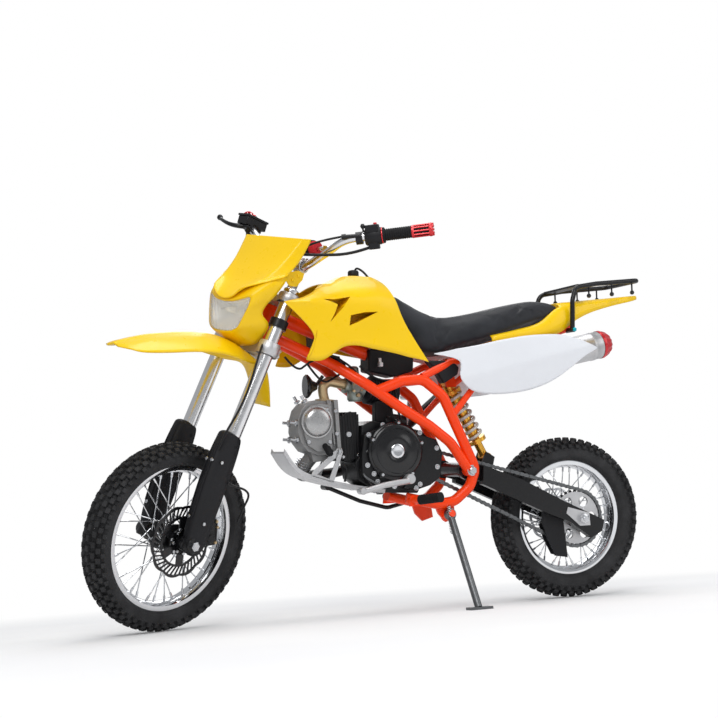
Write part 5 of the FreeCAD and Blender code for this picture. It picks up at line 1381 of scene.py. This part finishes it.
def on_bar(profile):
    """Turned part along the bar: profile gives radius and distance in from its end."""
    return revolved(profile, (0, 0, 0), (1, 0, 0), 40)


def bar_and_pad():
    """Bar with its cross tube, and the padded roll on it."""
    line = [BAR_SEAT + np.array(p) for p in ((-206, 366, 243), (-142, 278, 221), (-78, 190, 199),
                                             (-64, 126, 158), (-50, 62, 117), (-50, 30, 115), (-50, 0, 115))]
    line = line + [p * np.array((1, -1, 1)) for p in line[-2::-1]]
    bar = tube(smooth_path(line, 10), 11, 32)
    cross = tube([BAR_SEAT + np.array((-66, -128, 169)), BAR_SEAT + np.array((-66, 128, 169))], 6.5, 20)
    lugs = [block(*(BAR_SEAT[0] + np.array((-74, -58))), *sorted((s * 118, s * 134)),
                  *(BAR_SEAT[2] + np.array((154, 178)))) for s in (-1, 1)]
    piece("bar_tube", "steering", joined(bar, cross, *lugs), "fork tube", ["handlebar"])
    middle = BAR_SEAT + np.array((-66, 0, 169))
    pad = revolved([(7, -92), (17, -91), (19, -88), (20.5, 0), (19, 88), (17, 91), (7, 92)], middle,
                   (0, 1, 0), 36)
    piece("cross_pad", "steering", pad, "red fabric", ["bar_pad"])
    bands = joined(*[revolved([(20, y), (21.4, y), (21.4, y + 12), (20, y + 12)], middle, (0, 1, 0), 36)
                     for y in (-72, 60)])
    piece("cross_pad_straps", "steering", bands, "grip rubber")


def hand_controls(side, name):
    """Ribbed grip with its red slotted end, switch housing and cable perch, drawn in from the bar's end."""
    def part(title, shape, surface, stands_for=(), bevel=0.0):
        piece(title + "_" + name, "steering", at_bar(shape, side), surface, stands_for, bevel=bevel)

    ribs = [(0, 50)]
    for i in range(12):
        ribs += [(16.2, 51 + i * 5.8), (16.2, 54.2 + i * 5.8), (15, 55 + i * 5.8), (15, 56.2 + i * 5.8)]
    ribs += [(17, 121), (21, 123), (21, 127), (12, 128)]
    part("grip_rubber", joined(on_bar(ribs), on_bar([(0, 4), (13.6, 4), (13.6, 52), (0, 52)])), "grip rubber",
         ["grips"] if side > 0 else ())
    slots = np.arange(10) * pi / 5
    part("grip_red_end", joined(
        on_bar([(13, 44), (17, 44), (17.4, 46), (17.4, 50), (13, 52)]),
        on_bar([(13, 4), (18, 4), (18.6, 2), (18.6, -2), (16, -5), (8, -6), (8, -2), (13, -2)]),
        *[rod((3, 15.6 * cos(a), 15.6 * sin(a)), (46, 15.6 * cos(a), 15.6 * sin(a)), 2.2, 8) for a in slots],
        *[revolved([(0, -9), (3.4, -8), (3.4, 0)], (0, 14.5 * cos(a), 14.5 * sin(a)), (1, 0, 0), 10)
          for a in slots]), "red")
    part("switch_case", joined(on_bar([(12, 130), (21, 130), (23, 133), (24, 150), (23, 172), (20, 176),
                                       (12, 176)]), block(136, 172, -14, 22, 10, 31),
                               block(140, 168, -18, 16, -34, -14)), "black plastic", ["switch_" + name], 2.5)
    part("switch_buttons", joined(on_bar([(19, 127.5), (22, 127.5), (22, 130), (19, 130)]),
                                  revolved([(0, 0), (5, 0), (5, 5), (3.5, 6.5), (0, 6.5)], (146, -4, 30),
                                           (0, 0, 1), 18),
                                  revolved([(0, 0), (4, 0), (4, 5), (0, 6)], (150, -18, -2), (0, -1, 0), 16)),
         "red")
    part("cable_perch", joined(on_bar([(11.5, 182), (17, 182), (17, 200), (11.5, 200)]),
                               rod((186, 12, 6), (226, 16, 8), 5.5, 18),
                               rod((224, 16, 8), (236, 17, 8), 7.5, 18),
                               revolved([(0, -7), (6, -4), (7, 0), (6, 4), (0, 7)], (178, 8, 30), (1, 0, 0),
                                        16), rod((178, 6, 14), (178, 8, 28), 2.5, 10)), "black paint")


def master_cylinder():
    """Tilted reservoir with its lid, and the brake lever's blade with a ball end."""
    tilt = rotation((0, 1, 0), radians(-16))
    centre = BAR_SEAT + np.array((-100, -228, 226))

    def tilted(points):
        return points @ tilt.T + centre

    reservoir = joined(block(-42, 36, -21, 21, -14, 10), block(-30, 28, -18, 18, -24, -14))
    piece("master_cylinder", "steering", placed(reservoir, tilted), "black paint", ["brake_lever"], bevel=2.0)
    lid = joined(block(-44, 38, -23, 23, 10, 16), bolts([(-38, -15, 16), (32, 15, 16)], (0, 0, 1), 3, 1.5))
    piece("master_cylinder_lid", "steering", placed(lid, tilted), "black gloss", bevel=1.2)
    blade = tube(smooth_path([BAR_SEAT + np.array(p)
                              for p in ((-96, -216, 214), (-62, -240, 214), (-52, -270, 218),
                                        (-62, -316, 228), (-80, -346, 234))], 8),
                 np.concatenate((np.linspace(8, 5.2, 24), np.linspace(5.2, 4.6, 9))), 16)
    ball = revolved([(0, -9), (5, -7.6), (8.6, -3), (9, 0), (8.6, 3), (5, 7.6), (0, 9)],
                    BAR_SEAT + np.array((-83, -352, 235)), (0, 0, 1), 24)
    piece("brake_lever_blade", "steering", joined(blade, ball), "black paint")


class BIKE_OT_front(bpy.types.Operator):
    """Fork legs, bridges, brake discs, handlebar and its controls"""

    bl_idname = "bike.front"
    bl_label = "Fork and controls"

    def execute(self, context):
        fork_legs()
        clamps()
        brakes()
        bar_and_pad()
        hand_controls(1, "left")
        hand_controls(-1, "right")
        master_cylinder()
        return {"FINISHED"}


CHAIN_LINKS = 90
# Each sprocket: x, z and radius of its pitch circle.
DRIVE_SPROCKET = (-105.0, 425.0, 31.0)
REAR_SPROCKET = (-600.0, 235.0, 82.0)
SPROCKET_TEETH = 32
CHAIN_Y = 62


def chain_pins(count):
    """Places and headings of the chain's pins.

    The path is two arcs, of the two sprockets' pitch circles, joined by the outer tangents: at an arc the
    heading turns with the angle, on a tangent it stays.
    """
    (bx, bz, br), (sx, sz, sr) = REAR_SPROCKET, DRIVE_SPROCKET
    run = np.hypot(sx - bx, sz - bz)
    slope = np.arctan2(sz - bz, sx - bx)
    spread = np.arccos((br - sr) / run)
    big = np.linspace(slope + spread, slope + 2 * pi - spread, 200)
    small = np.linspace(slope - spread, slope + spread, 60)
    line = np.concatenate((np.stack((bx + br * np.cos(big), bz + br * np.sin(big)), axis=1),
                           np.stack((sx + sr * np.cos(small), sz + sr * np.sin(small)), axis=1)))
    line = np.concatenate((line, line[:1]))
    along = np.concatenate(((0.0,), np.cumsum(np.hypot(*np.diff(line, axis=0).T))))
    at = np.linspace(0, along[-1], count, endpoint=False)
    pins = np.stack((np.interp(at, along, line[:, 0]), np.interp(at, along, line[:, 1])), axis=1)
    return pins, np.roll(pins, -1, axis=0)


def chain_and_sprocket():
    """Side plates link by link with their pins, and the toothed rim of the rear sprocket."""
    starts, ends = chain_pins(CHAIN_LINKS)
    turn = np.linspace(pi / 2, 3 * pi / 2, 7)
    plates, pins = [], []
    for number, (a, b) in enumerate(zip(starts, ends)):
        way = (b - a) / np.hypot(*(b - a))
        side = np.array((-way[1], way[0]))
        half = np.stack((np.cos(turn), np.sin(turn)), axis=1) * 5.3
        left = a + half[:, :1] * way + half[:, 1:] * side
        right = b - half[:, :1] * way - half[:, 1:] * side
        middle = (a + b) / 2
        outline = np.concatenate((left, [middle - side * 3.6], right, [middle + side * 3.6]))
        out = 5.9 if number % 2 else 4.3
        plates += [extruded(outline, CHAIN_Y + s * out - 0.75, CHAIN_Y + s * out + 0.75) for s in (-1, 1)]
        pins.append(rod((a[0], CHAIN_Y - 6.6, a[1]), (a[0], CHAIN_Y + 6.6, a[1]), 2.6, 10))
    piece("chain_plates", "chassis", joined(*plates), "dark steel", ["chain"])
    piece("chain_pins", "chassis", joined(*pins), "steel")
    turn = around(360)
    root = np.full(360, 66.0)
    teeth = 78.5 + 4.0 * np.clip(np.cos(turn * SPROCKET_TEETH) * 1.3, -1, 1)
    rings = [np.stack((REAR_SPROCKET[0] + r * np.cos(turn), np.full(360, y),
                       REAR_SPROCKET[1] + r * np.sin(turn)), axis=1)
             for r, y in ((root, 60.0), (teeth, 60.0), (teeth, 64.0), (root, 64.0))]
    rim = sheet(np.array(rings), close_rows=True, close_columns=True)
    piece("sprocket_teeth", "rear_wheel", rim, "black plastic")


def rear_fittings():
    """Axle adjusters and their plates, the arm's pivot bolts, rack fixings and the stand spring."""
    adjusters, plates = [], []
    for side in (1, -1):
        adjusters += [bolts([(-600, side * 108, 235)], (0, side, 0), 15, 9),
                      rod((-560, side * 92, 248), (-522, side * 92, 262), 3.4),
                      rod((-600, side * 100, 235), (-600, side * 121, 235), 7.5, 20)]
        plates.append(extruded([(-624, 214), (-622, 250), (-552, 270), (-546, 252), (-590, 214)],
                               side * 102.4 - 1.2, side * 102.4 + 1.2))
    piece("axle_adjusters", "chassis", joined(*adjusters), "steel")
    piece("axle_plates", "chassis", joined(*plates), "alloy", bevel=0.5)
    pivot = both(joined(bolts([(-243, 118, 387)], (0, 1, 0), 11, 8),
                        revolved([(0, 0), (15, 0), (15, 3), (0, 3)], (-243, 114, 387), (0, 1, 0), 28)))
    piece("arm_pivot_bolt", "chassis", pivot, "steel")
    knobs = [revolved([(0, -7), (5, -5), (7, 0), (5, 5), (0, 7)], (x, side * 97, z), (0, 0, 1), 14)
             for side in (1, -1) for x, z in ((-655, 884), (-734, 890), (-805, 896))]
    piece("rack_knobs", "chassis", joined(*knobs), "black gloss")
    blue = both(bolts([(-588, 117, 782)], (0, 1, 0), 6.5, 5))
    piece("rack_bolts", "chassis", blue, "turquoise bolt")
    start, end = np.array((-172.0, 104, 300)), np.array((-182.0, 101, 214))
    axis = unit(end - start)
    turn = np.linspace(0, 2 * pi * 16, 260)
    u = unit(np.cross(axis, (0, 1, 0)))
    v = np.cross(axis, u)
    coil = (start + np.linspace(0.08, 0.92, 260)[:, None] * (end - start) + 5.2 * (np.cos(turn)[:, None] * u
            + np.sin(turn)[:, None] * v))
    coil = np.concatenate((coil[:1] * 0 + start, coil, coil[-1:] * 0 + end))
    piece("stand_spring", "chassis", tube(coil, 1.3, 7), "steel")


def under_tank():
    """Dark airbox, ignition box, brackets and small parts that fill the space between tank and engine. The
    black airbox blocks are partly painted shade: dark mass put where that space lies in shade, over the
    frame's spine tube.
    """
    # Partly painted shade: these black blocks stand where the space under the tank lies in shade, and hide
    # the lit spine tube behind them.
    dark = [extruded([(23, 733), (-94, 730), (-113, 706), (-111, 670), (-52, 654), (25, 671)], -36, 34),
            extruded([(9, 587), (-37, 586), (-39, 524), (11, 528)], 6, 38),
            extruded([(-129, 696), (-164, 696), (-207, 694), (-227, 677), (-222, 656), (-177, 630),
                      (-155, 667)], 58, 92)]
    piece("airbox_and_shade_fill", "chassis", joined(*dark), "black plastic", bevel=5)
    small = [block(-10, 0, 40, 56, 682, 694), rod((-4, 48, 694), (-4, 48, 706), 4, 14)]
    piece("ignition_parts", "chassis", joined(*small), "white", bevel=1.5)
    coil = joined(rod((150, 0, 712), (104, 0, 700), 15, 26), block(116, 132, -22, 22, 690, 700),
                  rod((106, 0, 700), (92, 0, 690), 8, 18))
    piece("ignition_coil", "chassis", coil, "black plastic", bevel=1)


def cable(name, body, place, diameter, length, points):
    """Cable or hose: one open curve through its route, with the cable's own thickness."""
    curve = bpy.data.curves.new(name, "CURVE")
    curve.dimensions = "3D"
    curve.bevel_depth = diameter / 2000
    curve.bevel_resolution = 3
    curve.resolution_u = 10
    curve.use_fill_caps = True
    spline = curve.splines.new("NURBS")
    spline.points.add(len(points) - 1)
    route = place(points)
    for point, spot in zip(spline.points, route):
        point.co = (*spot.tolist(), 1)
    spline.order_u = 3
    spline.use_endpoint_u = True
    curve.materials.append(finish("cable black"))
    thing = bpy.data.objects.new(name, curve)
    bpy.context.scene.collection.objects.link(thing)
    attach(thing, body)


# Columns: name, body, how its route is placed, diameter in millimetres, length in metres, route.
CABLES = [
    ("hand_hose_front", "steering", forks, 6, 0.361,
     [(40, 72, 586), (66, 92, 556), (86, 120, 502), (84, 130, 425), (86, 128, 352), (94, 120, 290),
      (88, 112, 250)]),
    ("caliper_hose", "steering", forks, 6, 0.172,
     [(20, 118, 180), (0, 122, 177), (-40, 120, 184), (-74, 112, 176), (-78, 102, 140), (-88, 90, 100)]),
    ("hand_cable_low", "steering", steer, 8, 0.326,
     [(172, 236, 1034), (205, 200, 1012), (250, 130, 1003), (300, 70, 1000), (330, 20, 980), (352, 10, 930)]),
    ("hand_cable_high", "steering", steer, 6, 0.229,
     [(214, 190, 1060), (250, 145, 1046), (278, 95, 1022), (296, 55, 992), (306, 20, 950)]),
    ("vent_hose", "chassis", bike, 7, 0.171,
     [(62, 60, 684), (27, 60, 652), (-7, 60, 642), (-45, 60, 642), (-96, 60, 652)]),
    ("loop_wire", "chassis", bike, 6, 0.119,
     [(169, 45, 696), (151, 45, 710), (128, 45, 713), (108, 45, 699), (85, 45, 685), (68, 45, 668)]),
    ("head_wire_low", "chassis", bike, 6, 0.127,
     [(200, 24, 690), (175, 26, 655), (152, 28, 640), (129, 28, 652), (100, 24, 668)]),
    ("head_wire_high", "chassis", bike, 6, 0.128,
     [(268, 30, 712), (252, 34, 690), (228, 36, 676), (214, 36, 686), (190, 34, 702), (160, 30, 706)]),
    ("frame_wire", "chassis", bike, 7, 0.169,
     [(170, 22, 716), (140, 26, 716), (112, 28, 706), (92, 28, 690), (96, 26, 668), (80, 24, 640),
      (52, 24, 622)]),
    ("sump_wire", "chassis", bike, 6, 0.056,
     [(118, 66, 369), (112, 68, 390), (112, 68, 407), (124, 68, 421)]),
    ("engine_wire", "chassis", bike, 6, 0.140,
     [(-30, 60, 640), (-38, 70, 610), (-40, 72, 570), (-52, 70, 530), (-60, 66, 505)]),
    ("carb_hose", "chassis", bike, 8, 0.137,
     [(-18, 20, 600), (-30, 52, 590), (-26, 64, 560), (-34, 60, 520), (-60, 50, 500)]),
]


class BIKE_OT_rear(bpy.types.Operator):
    """Chain, sprocket, rear fittings, what hides under the tank, and the cables and hoses"""

    bl_idname = "bike.rear"
    bl_label = "Rear and cables"

    def execute(self, context):
        chain_and_sprocket()
        rear_fittings()
        under_tank()
        for row in CABLES:
            cable(*row)
        return {"FINISHED"}


class BIKE_OT_stage(bpy.types.Operator):
    """Floor, soft lamps, pale surroundings and the photograph's camera"""

    bl_idname = "bike.stage"
    bl_label = "Stage"

    def execute(self, context):
        look = context.scene.bike_look
        stage_floor(look.floor_radius)
        surroundings(look.backdrop_white)
        for name, place, size, energy in LAMPS:
            soft_lamp(name, place, size, energy * look.lamp_level)
        photo_camera()
        context.scene.view_settings.view_transform = "Standard"
        return {"FINISHED"}


# Columns: name, place in metres, width of the panel, power in watts.
LAMPS = [("key lamp", (1.6, 3.2, 3.0), 2.2, 74.0), ("fill lamp", (-2.6, 2.2, 1.9), 2.2, 22.0),
         ("top lamp", (-0.3, 0.2, 3.6), 2.0, 46.0), ("back lamp", (-1.0, -3.2, 2.6), 2.2, 30.0)]
# Light that the floor adds for the camera alone, so that only its shadowed part shows as grey.
FLOOR_LIFT = 0.08
# Metres from the middle at which the floor starts to turn white and is all white.
WHITE_FROM = 1.2
WHITE_FULL = 2.4
SKY_COLOUR = (0.95, 0.97, 1.0, 1)
SKY_LEVEL = 0.42


def stage_floor(radius):
    """Round pale floor: rings of growing radius about the bike."""
    shape = revolved([(0, 0), (radius * 500, 0), (radius * 1000, 0)], (0, 0, 0), (0, 0, 1), 64)
    mesh = bpy.data.meshes.new("floor")
    mesh.from_pydata((shape.all_points() / 1000).tolist(), [], [face[::-1] for face in shape.faces])
    floor = bpy.data.objects.new("floor", mesh)
    bpy.context.scene.collection.objects.link(floor)
    material, tree, shader = nodes_of("floor")
    tone = texture(tree, "ShaderNodeTexNoise", 1.5, Detail=2.0)
    tree.links.new(tint(tree, tone.outputs["Fac"], (0.84, 0.84, 0.85), (0.88, 0.88, 0.88)),
                   shader.inputs["Base Color"])
    fill(shader, {"Roughness": 0.9, "Specular IOR Level": 0.1})
    fade_to_white(tree, shader)
    mesh.materials.append(material)


def fade_to_white(tree, shader):
    """Floor that keeps the shadow near the bike and turns pure white for the camera further out.

    The share of white rises from 0 at WHITE_FROM metres off the middle to 1 at WHITE_FULL, with a slow
    start and end.
    """
    coords = tree.nodes.new("ShaderNodeTexCoord")
    length = tree.nodes.new("ShaderNodeVectorMath")
    length.operation = "LENGTH"
    tree.links.new(coords.outputs["Object"], length.inputs[0])
    share = fill(tree.nodes.new("ShaderNodeMapRange"), {"From Min": WHITE_FROM, "From Max": WHITE_FULL})
    share.interpolation_type = "SMOOTHSTEP"
    tree.links.new(length.outputs["Value"], share.inputs["Value"])
    rays = tree.nodes.new("ShaderNodeLightPath")
    seen = tree.nodes.new("ShaderNodeMath")
    seen.operation = "MULTIPLY"
    tree.links.new(rays.outputs["Is Camera Ray"], seen.inputs[0])
    tree.links.new(share.outputs["Result"], seen.inputs[1])
    lift = fill(tree.nodes.new("ShaderNodeEmission"), {"Color": (FLOOR_LIFT, FLOOR_LIFT, FLOOR_LIFT, 1)})
    tree.links.new(rays.outputs["Is Camera Ray"], lift.inputs["Strength"])
    lifted = tree.nodes.new("ShaderNodeAddShader")
    tree.links.new(shader.outputs["BSDF"], lifted.inputs[0])
    tree.links.new(lift.outputs["Emission"], lifted.inputs[1])
    white = fill(tree.nodes.new("ShaderNodeEmission"), {"Color": (1, 1, 1, 1)})
    mix = tree.nodes.new("ShaderNodeMixShader")
    tree.links.new(seen.outputs["Value"], mix.inputs["Fac"])
    tree.links.new(lifted.outputs["Shader"], mix.inputs[1])
    tree.links.new(white.outputs["Emission"], mix.inputs[2])
    tree.links.new(mix.outputs["Shader"], tree.nodes["Material Output"].inputs["Surface"])


def surroundings(white):
    """World that lights softly and shows as white to the camera."""
    world = bpy.data.worlds.new("surroundings")
    world.use_nodes = True
    tree = world.node_tree
    light = fill(tree.nodes["Background"], {"Color": SKY_COLOUR, "Strength": SKY_LEVEL})
    seen = fill(tree.nodes.new("ShaderNodeBackground"), {"Color": (white, white, white, 1), "Strength": 1.0})
    rays = tree.nodes.new("ShaderNodeLightPath")
    mix = tree.nodes.new("ShaderNodeMixShader")
    tree.links.new(rays.outputs["Is Camera Ray"], mix.inputs["Fac"])
    tree.links.new(light.outputs["Background"], mix.inputs[1])
    tree.links.new(seen.outputs["Background"], mix.inputs[2])
    tree.links.new(mix.outputs["Shader"], tree.nodes["World Output"].inputs["Surface"])
    bpy.context.scene.world = world


def soft_lamp(name, place, width, power):
    """Square panel that faces the middle of the bike."""
    data = bpy.data.lights.new(name, "AREA")
    data.energy = power
    data.size = width
    lamp = bpy.data.objects.new(name, data)
    bpy.context.scene.collection.objects.link(lamp)
    aim = unit(np.array((0, 0, 0.5)) - np.array(place))
    side = unit(np.cross(aim, (0, 0, 1)))
    basis = np.eye(4)
    basis[:3, 0] = side
    basis[:3, 1] = np.cross(side, aim)
    basis[:3, 2] = -aim
    basis[:3, 3] = place
    lamp.matrix_world = Matrix(basis.tolist())


def photo_camera():
    """Camera at the photograph's place: looks along yaw and pitch, then rolls about that line."""
    view = np.array((-sin(CAMERA_YAW) * cos(CAMERA_PITCH), -cos(CAMERA_YAW) * cos(CAMERA_PITCH),
                     -sin(CAMERA_PITCH)))
    right = unit(np.cross(view, (0, 0, 1)))
    up = np.cross(right, view)
    rolled_right = cos(CAMERA_ROLL) * right + sin(CAMERA_ROLL) * up
    rolled_up = -sin(CAMERA_ROLL) * right + cos(CAMERA_ROLL) * up
    basis = np.eye(4)
    basis[:3, 0] = STANDING @ rolled_right
    basis[:3, 1] = STANDING @ rolled_up
    basis[:3, 2] = STANDING @ -view
    basis[:3, 3] = bike(CAMERA_PLACE)
    data = bpy.data.cameras.new("photo camera")
    data.sensor_width = SENSOR
    data.lens = SENSOR * FOCAL_PIXELS / PHOTO_SIDE
    data.shift_y = CENTRE_RISE / PHOTO_SIDE * -1
    camera = bpy.data.objects.new("photo camera", data)
    bpy.context.scene.collection.objects.link(camera)
    camera.matrix_world = Matrix(basis.tolist())
    bpy.context.scene.camera = camera


class BikeLook(bpy.types.PropertyGroup):
    """Sizes and levels that a user would change"""

    front_blocks: IntProperty(name="Front blocks", description="Tread blocks in a row of the front tyre",
                              default=58, min=20, max=90)
    rear_blocks: IntProperty(name="Rear blocks", description="Tread blocks in a row of the rear tyre",
                             default=54, min=20, max=90)
    floor_radius: FloatProperty(name="Floor radius", description="How far the pale floor reaches",
                                default=14.0, min=2.0, unit="LENGTH")
    backdrop_white: FloatProperty(name="Backdrop", description="Brightness of what the camera sees behind",
                                  default=1.0, min=0.0, max=1.0)
    lamp_level: FloatProperty(name="Lamp level", description="Power of every lamp, against the drawn one",
                              default=1.0, min=0.0)


class BIKE_PT_looks(bpy.types.Panel):
    """Sidebar list of the bike's pieces"""

    bl_label = "Dirt bike"
    bl_idname = "BIKE_PT_looks"
    bl_space_type = "VIEW_3D"
    bl_region_type = "UI"
    bl_category = "Dirt bike"

    def draw(self, context):
        look = context.scene.bike_look
        for name in BikeLook.__annotations__:
            self.layout.prop(look, name)
        for operator in OPERATORS:
            self.layout.operator(operator.bl_idname)


OPERATORS = (
    BIKE_OT_frame_finishes, BIKE_OT_wheels, BIKE_OT_bodywork, BIKE_OT_engine, BIKE_OT_front,
    BIKE_OT_rear, BIKE_OT_stage,
)
CLASSES = (BikeLook, *OPERATORS, BIKE_PT_looks)


def register():
    for one in CLASSES:
        bpy.utils.register_class(one)
    bpy.types.Scene.bike_look = PointerProperty(type=BikeLook)


def unregister():
    del bpy.types.Scene.bike_look
    for one in reversed(CLASSES):
        bpy.utils.unregister_class(one)


def main():
    register()
    for operator in OPERATORS:
        group, name = operator.bl_idname.split(".")
        getattr(getattr(bpy.ops, group), name)()


if __name__ == "__main__":
    main()
